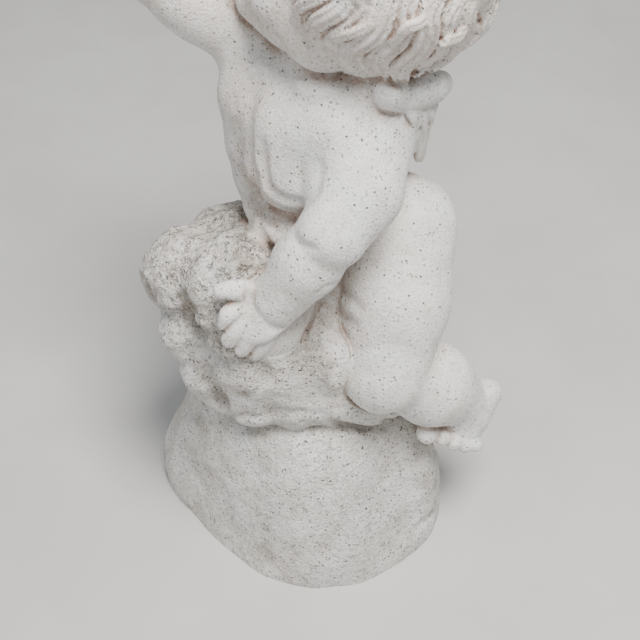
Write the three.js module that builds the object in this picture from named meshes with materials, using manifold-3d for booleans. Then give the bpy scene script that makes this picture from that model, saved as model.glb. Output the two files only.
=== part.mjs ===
// A cherub garden statue in cast stone: a winged child kneeling on one knee on a
// lumpy rock, one hand on the rock and the other arm raised, over a smooth boulder
// that stands flat on the ground. Figure, wings, rock and boulder are one casting.
//
// Millimetres, +Z up. The origin is on the ground under the middle of the casting's
// box; the figure's chest faces -X and -Y. Every form below is a rounded body
// (a tapering limb, an egg, a bent tube or a lock of hair), and neighbouring forms
// flow into one another over a stated blend, the way a modeller adds clay. The
// clay's outer skin is then faceted.
import * as THREE from "three";
import { mergeVertices } from "three/addons/utils/BufferGeometryUtils.js";
import Module from "manifold-3d";

// ------------------------------------------------------------ driving dimensions
const CELL = 4.6;              // spacing of the lattice the skin is taken from
const FACETS = 9500;           // facets kept on the finished skin
const CENTRE = [29.8, 1.5];    // middle of the casting's box, moved to the origin
const LO = [-188, -188, -9], HI = [244, 190, 812]; // the space the casting lies in

const UPPER_ARM = 41, ELBOW = 33, FOREARM = 31.5, WRIST = 25.5;      // radii
const THIGH = 53, KNEE = 44, CALF = 43, ANKLE = 25;
const SKULL = [71, 68, 70], HEAD_SCALE = 1.19;                   // half sizes, and the head's size
const BOULDER = [152, 150, 166];                                 // half sizes of the boulder's main mass

// Joints and centres of the figure
const PELVIS = [56, 48, 368], NECK = [11, 36, 516], SKULL_CENTRE = [62, 42, 646];
const HIP_L = [109, 16, 371], KNEE_L = [92, -74, 256], ANKLE_L = [187, -40, 168];
const HIP_R = [22, 78, 360], KNEE_R = [-26, -60, 312], ANKLE_R = [66, 108, 270];
const SHOULDER_L = [69.5, -8, 498.5], ELBOW_L = [37.5, -82, 447.5], WRIST_L = [-19, -84, 361];
const SHOULDER_R = [-37, 82, 548], ELBOW_R = [-127, 84, 614], WRIST_R = [-113, 68, 710];
const CHEST_FACES = [-0.76, -0.65, 0], HIPS_FACE = [-0.72, -0.69, 0], FACE_FACES = [-0.93, 0.13, 0.33];

// ------------------------------------------------------------ points and frames
const { sin, cos, abs, sqrt, min, max, PI, exp, floor, ceil } = Math;
const add = (a, b) => [a[0] + b[0], a[1] + b[1], a[2] + b[2]];
const sub = (a, b) => [a[0] - b[0], a[1] - b[1], a[2] - b[2]];
const mul = (a, s) => [a[0] * s, a[1] * s, a[2] * s];
const dot = (a, b) => a[0] * b[0] + a[1] * b[1] + a[2] * b[2];
const cross = (a, b) => [a[1] * b[2] - a[2] * b[1], a[2] * b[0] - a[0] * b[2], a[0] * b[1] - a[1] * b[0]];
const unit = (a) => mul(a, 1 / sqrt(dot(a, a)));
const lerp = (a, b, t) => add(a, mul(sub(b, a), t));
const rad = THREE.MathUtils.degToRad;

// A frame of its own for a body part: x forward, y to its left, z up.
function frame(c, forward, upward, s = 1) {
  const f = unit(forward), u = unit(sub(upward, mul(f, dot(upward, f)))), l = cross(u, f);
  const d = (q) => add(add(mul(f, q[0]), mul(l, q[1])), mul(u, q[2]));
  return { c, s, rows: [f, l, u], d, p: (q) => add(c, mul(d(q), s)), to: (p) => { const q = sub(p, c); return [dot(q, f), dot(q, l), dot(q, u)]; } };
}
const WORLD = frame([0, 0, 0], [1, 0, 0], [0, 0, 1]);
const TORSO = frame(lerp(PELVIS, NECK, 0.5), CHEST_FACES, sub(NECK, PELVIS));
const HIPS = frame(PELVIS, HIPS_FACE, [0.05, 0, 1]);
const HEAD = frame(SKULL_CENTRE, FACE_FACES, [0.3, -0.1, 1], HEAD_SCALE);
const BACK = frame([23, 37, 524], CHEST_FACES, [0, 0, 1]);

// Points spaced evenly along a smooth curve through the given points.
function curve(pts, n) {
  const P = [sub(mul(pts[0], 2), pts[1]), ...pts, sub(mul(pts[pts.length - 1], 2), pts[pts.length - 2])];
  return Array.from({ length: n }, (_, i) => {
    const t = (i / (n - 1)) * (pts.length - 1), j = min(floor(t), pts.length - 2), u = t - j;
    return [0, 1, 2].map((x) => {
      const a = P[j][x], b = P[j + 1][x], c = P[j + 2][x], d = P[j + 3][x];
      return 0.5 * (2 * b + (c - a) * u + (2 * a - 5 * b + 4 * c - d) * u * u + (3 * b - a - 3 * c + d) * u ** 3);
    });
  });
}
const along = (values, t) => {
  const x = t * (values.length - 1), i = min(floor(x), values.length - 2);
  return values[i] + (values[i + 1] - values[i]) * (x - i);
};

// ------------------------------------------------------------ rounded bodies
// Each gives the distance to its skin, negative inside.
function conePiece(a, b, ra, rb, flat, s) {
  const [ax, ay, az] = a, [bx, by, bz] = sub(b, a), L = max(bx * bx + by * by + bz * bz, 1e-9), dr = rb - ra;
  const [nx, ny, nz] = flat ? unit(flat) : [0, 0, 0];
  return (x, y, z) => {
    x -= ax; y -= ay; z -= az;
    const t = min(max((x * bx + y * by + z * bz) / L, 0), 1);
    x -= t * bx; y -= t * by; z -= t * bz;
    const m = x * x + y * y + z * z, r = ra + dr * t;
    if (!flat) return sqrt(m) - r;
    const w = x * nx + y * ny + z * nz, q = sqrt(max(m - w * w, 0) + (w / s) ** 2);
    return ((q - r) * sqrt(max(m, 1e-6))) / max(q, 1e-3);
  };
}
const put = (g, lo, hi, f, k, cut) => { const e = k + 3; g.push({ lo: sub(lo, [e, e, e]), hi: add(hi, [e, e, e]), f, k, cut: !!cut }); };
const low = (a, b) => a.map((v, i) => min(v, b[i])), high = (a, b) => a.map((v, i) => max(v, b[i]));

// A limb: a round bar that tapers from radius ra at a to rb at b.
function limb(g, a, b, ra, rb, k = 6, cut = false) {
  const r = max(ra, rb), e = [r, r, r];
  put(g, sub(low(a, b), e), add(high(a, b), e), conePiece(a, b, ra, rb), k, cut);
}
const ball = (g, c, r, k = 6, cut = false) => limb(g, c, add(c, [0, 0, 0.001]), r, r, k, cut);

// An egg: half sizes r along the frame's axes, centred at c.
function egg(g, c, r, fr = WORLD, k = 6, cut = false) {
  const [F, L, U] = fr.rows, e = [0, 1, 2].map((i) => sqrt((F[i] * r[0]) ** 2 + (L[i] * r[1]) ** 2 + (U[i] * r[2]) ** 2)), rm = min(...r);
  put(g, sub(c, e), add(c, e), (x, y, z) => {
    x -= c[0]; y -= c[1]; z -= c[2];
    const p = (x * F[0] + y * F[1] + z * F[2]) / r[0], q = (x * L[0] + y * L[1] + z * L[2]) / r[1], s = (x * U[0] + y * U[1] + z * U[2]) / r[2];
    const k0 = sqrt(p * p + q * q + s * s), k1 = sqrt((p / r[0]) ** 2 + (q / r[1]) ** 2 + (s / r[2]) ** 2);
    return k1 > 1e-9 ? (k0 * (k0 - 1)) / k1 : -rm;
  }, k, cut);
}

// A tube bent along a smooth curve, its radius changing on the way, flattened across `flat` by s.
function tube(g, pts, radii, k = 3, n = 10, { cut = false, flat = null, s = 1 } = {}) {
  const c = curve(pts, n), r = c.map((_, i) => along(radii, i / (n - 1))), R = max(...r), e = [R, R, R];
  const parts = r.slice(1).map((_, i) => conePiece(c[i], c[i + 1], r[i], r[i + 1], flat, s));
  put(g, sub(c.reduce(low), e), add(c.reduce(high), e), (x, y, z) => {
    let d = 1e9;
    for (const f of parts) d = min(d, f(x, y, z));
    return d;
  }, k, cut);
}

// A lock of hair: a tube whose flat side follows the head's own surface.
function lock(g, pts, radii, out, k = 1.6, n = 9, thick = 0.6) {
  const c = curve(pts, n), o = curve(out, n), r = c.map((_, i) => along(radii, i / (n - 1))), R = max(...r), e = [R, R, R];
  const parts = r.slice(1).map((_, i) => {
    const T = unit(sub(c[i + 1], c[i])), N = add(o[i], o[i + 1]);
    return conePiece(c[i], c[i + 1], r[i], r[i + 1], sub(N, mul(T, dot(N, T))), thick);
  });
  put(g, sub(c.reduce(low), e), add(c.reduce(high), e), (x, y, z) => {
    let d = 1e9;
    for (const f of parts) d = min(d, f(x, y, z));
    return d;
  }, k, false);
}

// Everything beyond a plane is taken away, with its edge eased over k.
const shave = (g, n, d, k) => {
  const L = sqrt(dot(n, n)), [a, b, c] = unit(n), h = d / L;
  g.push({ lo: [-1e6, -1e6, -1e6], hi: [1e6, 1e6, 1e6], f: (x, y, z) => h - (a * x + b * y + c * z), k, cut: true });
};

// ------------------------------------------------------------ the figure
function torso() {
  const t = [];
  egg(t, PELVIS, [52, 70, 54], HIPS, 1);
  for (const s of [1, -1]) egg(t, HIPS.p([-28, 32 * s, -20]), [44, 42, 46], HIPS, 14); // buttocks
  egg(t, [2, 14, 347], [40, 40, 26], TORSO, 18); // hip roll
  egg(t, [3.5, 8, 396], [50, 60, 24], TORSO, 18); // lower belly roll
  egg(t, [16.5, 8, 459], [60, 62, 44], TORSO, 12); // belly
  egg(t, [15, 18, 499.5], [58, 66, 50], TORSO, 22);
  // right flank, from breast to hip
  const flank = [[-34, 52, 499], [-30, 52, 449.5], [-24.5, 52, 413], [-14, 50, 376.5], [3.5, 46, 345.5]], girth = [36, 33, 33, 31, 28];
  for (let i = 0; i < 4; i++) limb(t, flank[i], flank[i + 1], girth[i], girth[i + 1], 12);
  egg(t, [-27.5, 50, 519], [34, 40, 32], TORSO, 14); // right breast
  egg(t, [35, -14, 518], [36, 44, 36], TORSO, 16); // left breast
  egg(t, [54.5, -22, 493.5], [34, 40, 40], TORSO, 18);
  egg(t, [36, 2, 304.5], [50, 40, 44], WORLD, 22); // groin and inside of the left thigh
  egg(t, TORSO.p([-20, 0, 26]), [44, 76, 96], TORSO, 26); // back
  for (const s of [1, -1]) egg(t, TORSO.p([-38, 36 * s, 58]), [24, 34, 40], TORSO, 18); // shoulder blades
  limb(t, TORSO.p([-76, 0, -60]), TORSO.p([-70, 0, 84]), 9, 9, 22, true); // furrow of the spine
  limb(t, add(SHOULDER_L, [-6, 8, 2]), add(NECK, [0, 6, 0]), 38, 34, 22);
  limb(t, add(SHOULDER_R, [10, -4, -6]), add(NECK, [0, 6, 0]), 34, 34, 22);
  limb(t, add(NECK, [8, 4, -6]), add(SKULL_CENTRE, [-12, 0, -50]), 40, 40, 12); // neck
  limb(t, add(SHOULDER_L, [4, 20, 10]), add(NECK, [20, 10, 20]), 36, 33, 20); // slope of the left shoulder
  egg(t, [38.5, 2, 543], [34, 34, 20], TORSO, 16); // fold under the chin
  egg(t, [71.5, 0, 546.5], [24, 24, 20], TORSO, 12); // and beside the wing
  return t;
}

function leftArm() {
  const a = [];
  const bicep = [59, -50, 470], plump = lerp(ELBOW_L, WRIST_L, 0.4);
  limb(a, add(SHOULDER_L, [0, 2, -3]), bicep, UPPER_ARM - 1, UPPER_ARM, 1);
  limb(a, bicep, ELBOW_L, UPPER_ARM, ELBOW, 8);
  limb(a, add(ELBOW_L, [0, 2, 0]), plump, ELBOW - 3, FOREARM, 3);
  limb(a, plump, WRIST_L, FOREARM, WRIST, 8);
  // the hand lies on the rock, its fingers curling over the edge
  const palm = [-34, -88, 352], hand = frame(palm, sub([-55, -98, 338], WRIST_L), [-0.2, -0.62, 0.76]);
  egg(a, palm, [29, 29, 15], hand, 4);
  egg(a, hand.p([-12, -3, -3]), [28, 26, 18], hand, 9);
  const fingers = [ // knuckle, middle joint, tip, tip radius
    [[-48.5, -91, 364], [-58.5, -97, 361], [-67.5, -98, 351.5], 8.4],
    [[-42, -95, 353.5], [-51.5, -101, 345], [-59, -101, 331.5], 8.4],
    [[-34, -97, 343.5], [-42, -102, 332.5], [-48, -102, 319], 7.6],
    [[-24, -95, 333.5], [-30, -99, 321.5], [-35.5, -99, 307.5], 6.6],
  ];
  for (const [k, m, t, r] of fingers) tube(a, [lerp(palm, k, 0.6), k, m, t], [11, 10, 9.2, r], 1.3, 9);
  tube(a, [[-32, -82, 369.5], [-45, -86, 380], [-57, -88, 383], [-66, -88, 382]], [13.5, 11, 9.2, 7.8], 2.5, 9); // thumb
  return a;
}

function rightArm() {
  const b = [];
  limb(b, SHOULDER_R, lerp(SHOULDER_R, ELBOW_R, 0.6), 37, 34, 1);
  limb(b, lerp(SHOULDER_R, ELBOW_R, 0.5), ELBOW_R, 34, 28, 12);
  limb(b, ELBOW_R, lerp(ELBOW_R, WRIST_R, 0.45), 28, 29, 4);
  limb(b, lerp(ELBOW_R, WRIST_R, 0.4), WRIST_R, 29, 21, 10);
  // an open hand: x up the hand, y across it, z out of the palm
  const h = frame(WRIST_R, [0.08, -0.1, 1], [0.75, -0.62, 0.1]);
  egg(b, h.p([26, 0, 2]), [27, 25, 13], h, 6);
  for (const [y, spread, r, L] of [[-17, -0.16, 9, 31], [-6, -0.05, 9.4, 36], [6, 0.06, 9.2, 34], [17, 0.18, 8.2, 27]])
    tube(b, [h.p([34, y * 0.8, 0]), h.p([48, y, 1]), h.p([48 + L * 0.5, y + spread * L, 5]), h.p([46 + L * 0.9, y + spread * L * 1.3, 13])], [r, r * 0.95, r * 0.9, r * 0.8], 1.6, 8);
  tube(b, [[10, -16, 4], [24, -28, 10], [36, -32, 17], [44, -31, 22]].map(h.p), [12, 10.5, 9.4, 8], 3, 8);
  return b;
}

function leftLeg() {
  const l = [];
  limb(l, HIP_L, lerp(HIP_L, KNEE_L, 0.5), THIGH, THIGH, 1);
  limb(l, lerp(HIP_L, KNEE_L, 0.5), add(KNEE_L, [-1, 2, 0]), THIGH, KNEE, 16);
  const calf = add(lerp(KNEE_L, ANKLE_L, 0.5), [2, 4, 4]);
  limb(l, add(KNEE_L, [14, 8, -8]), calf, 36, CALF, 5);
  limb(l, calf, ANKLE_L, CALF, ANKLE, 12);
  // the foot stands on its toes on the ledge, its sole turned back
  const heel = [204, -34, 180], outer = [184, -62, 146], inner = [152, -54, 150];
  limb(l, ANKLE_L, heel, 24, 16, 6);
  limb(l, heel, outer, 15, 12, 5);
  limb(l, lerp(ANKLE_L, heel, 0.3), inner, 20, 14, 8);
  limb(l, outer, inner, 12, 14, 5);
  limb(l, lerp(heel, outer, 0.5), lerp(ANKLE_L, inner, 0.6), 15, 15, 6);
  egg(l, [172, -54, 158], [30, 20, 28], WORLD, 10);
  const sole = add(lerp(inner, outer, 0.5), [-4, 6, 8]);
  for (const [c, r] of [[[138.5, -80, 168], 11.5], [[155, -79, 160.5], 9.4], [[168.5, -77, 149.5], 9], [[181, -75, 142], 8.4], [[192, -74, 141], 7.6]])
    tube(l, [sole, add(lerp(inner, c, 0.6), [0, 0, 6]), c], [r * 1.2, r * 0.95, r], 1.2, 7); // toes, the big one inward
  return l;
}

function rightLeg() {
  const r = [];
  limb(r, HIP_R, lerp(HIP_R, KNEE_R, 0.55), 50, 46, 1);
  limb(r, lerp(HIP_R, KNEE_R, 0.5), KNEE_R, 46, 37, 12);
  // the shin is folded back under the thigh, with the foot below the buttock
  const top = add(KNEE_R, [-4, 14, -24]);
  limb(r, top, lerp(top, ANKLE_R, 0.5), 34, 34, 6);
  limb(r, lerp(top, ANKLE_R, 0.5), ANKLE_R, 34, 24, 10);
  const heel = add(ANKLE_R, [16, 16, 14]), sole = add(ANKLE_R, [22, 22, -50]);
  limb(r, ANKLE_R, heel, 22, 18, 6);
  limb(r, heel, sole, 17, 13, 8);
  limb(r, ANKLE_R, add(sole, [-14, -8, 4]), 20, 13, 8);
  [8.4, 7.2, 6.8, 6.4, 6].forEach((q, i) => {
    const c = lerp(add(sole, [-24, 8, -12]), add(sole, [20, -16, -12]), i / 4);
    tube(r, [add(c, [0, 0, 10]), c], [q * 1.1, q], 1.6, 3);
  });
  return r;
}

// Two small folded wings: a thick leading edge over the shoulder, and two rows of feathers behind it.
const TIPS = [[-34, 81, 22], [-54, 68, 2], [-69, 55, -10], [-79, 43, -10], [-85, 31, 2], [-86, 22, 20]]; // where the feathers end, in the torso's frame
function wings() {
  const w = [];
  for (const s of [1, -1]) {
    const at = (p) => BACK.p([p[0], p[1] * s, p[2] + (s > 0 ? 0 : 14)]);
    const edge = [[-10.5, 84, 30], [-24, 85, 20.5], [-42, 86, 18], [-62.5, 84, 13]].map(at), E = curve(edge, 21);
    for (const [count, drop, r, row] of [[6, 1, 12, 0], [5, 0.6, 11.5, 1]])
      for (let j = 0; j < count; j++) {
        const u = j / (count - 1), i = min(floor(u * 5), 4), out = unit(BACK.d([-0.5 - 0.5 * u, s * (0.85 - 0.75 * u), 0.1]));
        const a = E[floor(6 + 14 * u)], tip = lerp(at(BACK.to(TORSO.p(TIPS[i]))), at(BACK.to(TORSO.p(TIPS[i + 1]))), u * 5 - i);
        const e = add(lerp(a, tip, drop), mul(out, 5 * row));
        tube(w, [a, add(lerp(a, e, 0.5), mul(out, 6 + 3 * row)), add(lerp(a, e, 0.85), mul(out, 3)), e], [10, r, r, r * 0.75], 0.8, 10, { flat: out, s: 0.42 });
      }
    tube(w, edge, [16, 14.5, 16.5, 16], 1.5, 12);
    tube(w, [[128, 15, 536.5], [134.5, 27, 530.5], [134, 38, 518.5]].map((p) => at(BACK.to(p))), [13.5, 12, 9], 1.2, 6); // the curl at its end
  }
  return w;
}

// A calm child's face on plain proportions; x forward, y left, z up in the head's frame.
function face() {
  const h = [], s = HEAD_SCALE, e = (c, r, k = 8, cut = false) => egg(h, HEAD.p(c), mul(r, s), HEAD, k * s, cut);
  e([-4, 0, 15], SKULL, 1);
  e([20, 0, -26], [54, 56, 56], 14);
  e([40, 0, 28], [30, 48, 38], 12); // forehead
  for (const y of [-1, 1]) {
    e([44, y * 30, -32], [26, 25, 27], 10); // cheeks
    e([8, y * 44, -44], [30, 20, 26], 12); // jaw
  }
  e([58, 0, -62], [19, 22, 17], 10); // chin
  e([30, 0, -66], [30, 32, 20], 12);
  for (const y of [-1, 1]) {
    e([78, y * 26, 2], [14, 17, 10], 10, true); // eye hollows
    ball(h, HEAD.p([60, y * 25, 0]), 16.2 * s, 1);
    tube(h, [[69, y * 9, 14], [71, y * 23, 19], [62, y * 38, 16]].map(HEAD.p), [4 * s, 5 * s, 4 * s], 11, 6); // brows
  }
  limb(h, HEAD.p([70, 0, 8]), HEAD.p([79, 0, -16]), 5.5 * s, 8 * s, 9); // nose
  ball(h, HEAD.p([81, 0, -18]), 8 * s, 5);
  for (const y of [-1, 1]) e([76, y * 8, -20], [7, 5.5, 5.5], 3);
  tube(h, [[66, 16, -44], [76, 7, -41], [78, 0, -42.5], [76, -7, -41], [66, -16, -44]].map(HEAD.p), [2.5 * s, 4.6 * s, 4.4 * s, 4.6 * s, 2.5 * s], 3, 12); // lips
  tube(h, [[68, 12, -50], [76, 0, -52], [68, -12, -50]].map(HEAD.p), [3 * s, 5.6 * s, 3 * s], 4, 8);
  e([-2, -66, -10], [15, 8, 20], 3); // the far ear
  return h;
}

// Large locks over the left side of the head: azimuth, elevation and height along each, and half widths.
const LARGE_LOCKS = [
  [[[126, 22, 4], [120, 11, 6], [118, -4, 7], [122, -23, 6], [131, -42, 13]], [8.3, 13.3, 15.8, 15, 10], 4],
  [[[141, 19, 2], [134, 9, 4], [131, -6, 4], [146, -31, 5], [141, -35, 11]], [7.5, 12.5, 14.2, 12.5, 8.3], 4],
  [[[149, 16, 4], [145, 5, 5], [146, -10, 6], [151, -25, 9], [147, -30, 12]], [7.5, 11.7, 12.5, 11.7, 7.5], 3],
  [[[166, 12, 2], [167, -3, 5], [161, -12, 9], [156, -19, 10]], [7.5, 12.5, 12.5, 9.2], 3],
  [[[174, 9, 5], [168, 0, 9], [164, -7, 11], [159, -15, 12]], [7.5, 10.8, 10.8, 7.5], 3],
  [[[112, 19, 2], [107, 6, 3], [106, -9, 3], [112, -31, 3], [123, -47, 10]], [8.3, 13.3, 14.2, 13.3, 9.2], 3],
  [[[102, 17, 4], [96, 4, 6], [93, -10, 7], [94, -28, 7], [106, -52, 8], [116, -50, 8]], [7.5, 11.7, 13.3, 12.5, 10, 6.7], 3],
  [[[92, 13, 2], [86, 0, 4], [83, -16, 4], [86, -38, 4], [97, -54, 9]], [6.7, 10.8, 11.7, 10.8, 7.5], 3],
  [[[81, 11, 4], [77, -1, 5], [74, -14, 6], [74, -31, 5], [80, -55, 6]], [5.8, 10, 10, 9.2, 6.7], 3],
  [[[72, 7, 2], [66, -5, 3], [62, -18, 3], [59, -37, 3], [62, -52, 4]], [5, 8.3, 9.2, 8.3, 5.8], 3],
  [[[73, -29, 3], [65, -53, 6], [73, -54, 12], [85, -54, 11]], [5, 7.5, 8.3, 5.8], 3],
  [[[122, 10, 8], [114, 5, 12], [107, 1, 13], [103, -9, 9]], [4.2, 6.7, 6.7, 4.2], 2],
  [[[145, 1, 8], [137, -5, 11], [128, -7, 12], [136, -25, 8]], [4.2, 6.7, 6.7, 4.2], 2],
  [[[91, 3, 8], [90, -3, 11], [85, -12, 12], [85, -24, 8]], [3.3, 5.8, 5.8, 3.3], 2],
];
const LEFT_OUT = [23, 31, 32, 33, 34, 40, 41, 42, 49]; // combed locks left out where the large ones lie

// Thick wavy hair: combed rows of locks round the head, each running down from its row and swaying to one side.
function hair() {
  const g = [], s = HEAD_SCALE, c0 = [-9, 0, 14], size = [79, 76, 79];
  egg(g, HEAD.p(add(c0, [-3, 0, 3])), mul(sub(size, [3, 1, 3]), s), HEAD, 1);
  egg(g, HEAD.p(add(c0, [-3, 5, -3])), mul(sub(size, [2, 2, 1]), s), HEAD, 2);
  egg(g, HEAD.p([66, 0, -28]), mul([54, 60, 66], s), HEAD, 8 * s, true); // cut clear of the face
  egg(g, HEAD.p([-2, 48, -6]), mul([34, 23, 46], s), HEAD, 8 * s); // the mass of hair over the near ear
  const on = (az, el, h) => {
    const d = [cos(el) * cos(az), cos(el) * sin(az), sin(el)];
    return [HEAD.p([0, 1, 2].map((i) => c0[i] + d[i] * (size[i] + h))), HEAD.d(d)];
  };
  const rows = [[82, 5, 16], [64, 9, 17], [46, 12, 18], [28, 14, 18], [10, 15, 18], [-8, 15, 18], [-25, 14, 17], [-41, 12, 16]]; // height angle, locks, size
  let n = 0;
  rows.forEach(([el, count, r], row) => {
    const clear = el > 55 ? 0.5 : el > 35 ? 1 : el > 15 ? 1.12 : el > -15 ? 1.28 : 1.5; // kept off the face
    for (let i = 0; i < count; i++) {
      const az = (2 * PI * (i + 0.5 * (row % 2) + 0.12 * sin(3.1 * i + row))) / count;
      if (el < 75 && abs(((az + 3 * PI) % (2 * PI)) - PI) < clear) continue;
      n++;
      if (LEFT_OUT.includes(n)) continue;
      const sway = sin(2 * az + 0.9 * row), L = 0.64 + 0.08 * sin(2.3 * n);
      const q = Array.from({ length: 6 }, (_, k) => {
        const t = k / 5;
        return on(az + (0.16 * sin(4.6 * t + 1.7 * sway + 1.1 * row)) / max(cos(rad(el)), 0.45), rad(el) - L * (t - 0.2), -2.5 + 5.5 * sin(PI * min(t * 1.04, 1)) + 1.2 * sin(1.7 * n));
      });
      lock(g, q.map((v) => v[0]), [0.55, 0.86, 0.95, 0.88, 0.6].map((v) => v * r * s), q.map((v) => v[1]), 1.8, 11, 0.6);
    }
  });
  for (let i = 0; i < 9; i++) { // locks swept off the forehead
    const a = -1.02 + (2.04 * i) / 8, side = i % 2 ? -1 : 1;
    const q = Array.from({ length: 5 }, (_, k) => {
      const t = k / 4;
      return on(a * (1.05 - 0.05 * t) + side * 0.13 * sin(3.8 * t), rad(70 - 33 * t + 2.5 * sin(2 * i)), -2 + 6 * sin(PI * t));
    });
    lock(g, q.map((v) => v[0]), [8, 12, 12, 7].map((v) => v * s), q.map((v) => v[1]), 1.6, 9, 0.62);
  }
  for (const [way, widths] of LARGE_LOCKS) {
    const q = curve(way, 2 * way.length + 1).map(([az, el, h], j) => {
      const wave = j > 0 ? 3 * sin(rad(8.5 * el + 1.3 * way[0][0])) : 0;
      return on(rad(az + wave / max(cos(rad(el)), 0.5)), rad(el), h);
    });
    lock(g, q.map((v) => v[0]), widths, q.map((v) => v[1]), 1.6, 14, 0.66);
  }
  return g;
}

// ------------------------------------------------------------ the rock
function boulder() {
  const k = [];
  egg(k, [4, 2, 4], BOULDER, WORLD, 1);
  egg(k, [20, -30, 4], [140, 132, 120], WORLD, 20);
  egg(k, [-4, -24, 104], [118, 104, 104], WORLD, 56); // shoulder under the ledge
  egg(k, [-98, 8, 20], [62, 76, 56], WORLD, 24);
  egg(k, [96, -50, 30], [66, 76, 130], WORLD, 16);
  egg(k, [70, 70, 60], [90, 80, 120], WORLD, 24);
  egg(k, [-46, 72, 60], [78, 76, 106], WORLD, 24);
  shave(k, [cos(rad(-136)), sin(rad(-136)), 0.22], 141, 44);
  tube(k, [[108, -92, 184], [134, -122, 118], [150, -150, 60], [156, -160, 10]], [14, 30, 34, 22], 30, 8, { cut: true }); // valley at the right of the front
  tube(k, [[128.5, -92, 163.5], [125.5, -113, 129.5], [130, -127.5, 95.5], [139.5, -137.5, 64]], [36, 40], 34, 6, { cut: true });
  return k;
}

// The upper rock, in lobes: centre, half sizes and blend.
const LOBES = [
  [[-104, -2, 324], [48, 48, 48], 14], [[-60, 36, 316], [58, 56, 50], 14], [[-98, -30, 274], [40, 38, 36], 10], [[-88, -42, 232], [32, 32, 32], 8],
  [[-66, -54, 204], [26, 26, 24], 7], [[-74, -34, 192], [30, 30, 22], 7], [[-40, -74, 214], [32, 24, 36], 8], [[0, -66, 222], [40, 34, 52], 10],
  [[-34, -72, 268], [48, 34, 46], 14], [[-54, -58, 316], [44, 38, 42], 12], [[-66, -40, 352], [40, 40, 26], 12], [[-48, -30, 366], [36, 34, 26], 14],
  [[38, -62, 214], [40, 32, 44], 9], [[78, -54, 206], [42, 36, 36], 9], [[120, -30, 190], [34, 40, 30], 10],
  [[30, -70, 268], [40, 30, 36], 12], [[-92, 48, 262], [44, 46, 52], 14], [[-64, 84, 226], [46, 40, 54], 12], [[0, 104, 236], [52, 38, 56], 14],
  [[62, 100, 220], [48, 38, 56], 12], [[112, 52, 226], [44, 48, 52], 14],
];
function upperRock() {
  const u = [];
  egg(u, [10, 20, 250], [112, 98, 86], WORLD, 1);
  for (const [c, r, k] of LOBES) egg(u, c, r, WORLD, k);
  return u;
}

// Creases of the skin and valleys of the rock, cut last: the way each runs, its radius (negative: a swelling) and blend.
const CREASES = [
  [[[-58.5, 27.5, 346.5], [-45.5, -32.5, 376], [-40, -41, 369.5]], -22, 9],
  [[[-36, 1.5, 413], [-26, -19.5, 413.5], [-15, -32, 413.5], [-7, -38.5, 414.5]], 5, 5],
  [[[-34, -26, 405.5], [-29.5, -33.5, 399.5], [-23.5, -37.5, 392.5], [-16.5, -32, 386]], 5, 5],
  [[[-38, 13.5, 540.5], [-43, -3.5, 511.5], [-44, -11, 476.5], [-38.5, -26, 458], [-36.5, 3.5, 414]], 8, 9],
  [[[-28, -28.5, 501], [-27.5, -31.5, 483], [-25, -38.5, 469], [-18, -44.5, 460.5], [-6, -51, 457], [6.5, -57.5, 457]], 6, 6],
  [[[7.5, -68, 469], [17, -71, 484], [21, -65, 493.5], [22, -61, 503]], 6, 7],
  [[[25, -116, 403], [34, -112.5, 409.5], [44, -101.5, 402.5]], 3.5, 2.5],
  [[[-38.5, -93, 390], [-39, -98.5, 375], [-30, -109, 366], [-20.5, -111.5, 357.5], [-6, -107, 349.5]], 4.5, 4],
  [[[1, -94, 450], [10, -104.5, 451], [19, -113, 453.5]], 5, 4],
  [[[-6.5, -1, 550.5], [0, -19, 548.5], [23, -36, 553.5], [48, -34.5, 557], [62.5, -27, 560]], 6, 7],
  [[[149.5, -35, 261], [150, -53, 264.5], [151, -64, 265]], 4, 3],
  [[[43.5, -34, 331], [52.5, -54.5, 339], [61, -67.5, 339]], 5, 6],
  [[[36.5, -41, 319.5], [44.5, -53, 314], [56, -72, 321]], 5, 6],
  [[[-109, 12, 379.5], [-91.5, 19, 374], [-80, 22, 372.5], [-54.5, 1.5, 393], [-52, -8, 404.5]], 12, 12],
  [[[-68, -38, 399.5], [-76, -49.5, 388], [-77.5, -68, 378], [-79.5, -80, 366.5], [-81, -86, 350.5], [-82.5, -104.5, 358]], 12, 12],
  [[[-74, -61.5, 372.5], [-55.5, -66.5, 379], [-37, -65, 382], [-29.5, -77, 404.5]], 6, 6],
  [[[-140.5, -36.5, 295], [-120, -53, 305], [-104, -62.5, 303.5], [-89, -92.5, 314.5]], 11, 11],
  [[[-122.5, -68, 264.5], [-104, -73.5, 276], [-89.5, -74, 274], [-74, -97, 290]], 10, 10],
  [[[-87.5, -80, 239], [-78, -77.5, 230.5], [-77.5, -78.5, 219], [-74, -88.5, 209.5]], 9, 8],
  [[[36, -97.5, 206], [62.5, -76.5, 177], [94.5, -61.5, 160.5]], 6, 5],
  [[[-68, -87.5, 205.5], [-51, -99, 212], [-30.5, -100, 214], [-5.5, -102.5, 223], [8.5, -102, 223], [26.5, -98.5, 217]], 6, 5],
  [[[96, -62, 156.5], [96, -87, 194], [99.5, -106.5, 225.5], [108, -99, 217.5]], 6, 5],
  [[[-11, -103, 283]], 5, 2],
  [[[136.5, -107, 29], [144, -99.5, 30.5], [157.5, -90, 28]], 7, 5],
  [[[93, -29, 569.5], [97, -27, 566], [101, -27.5, 561.5]], 4, 4],
  [[[124, 12, 556.5], [130.5, 5, 552.5], [134, -0.5, 546]], 3, 3],
  [[[-29.5, -111.5, 290.5], [-19.5, -112.5, 259], [-20.5, -107, 227]], 11, 12],
  [[[22.5, -92.5, 306.5], [16, -105.5, 283.5], [23.5, -105, 241.5]], 12, 12],
];
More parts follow.
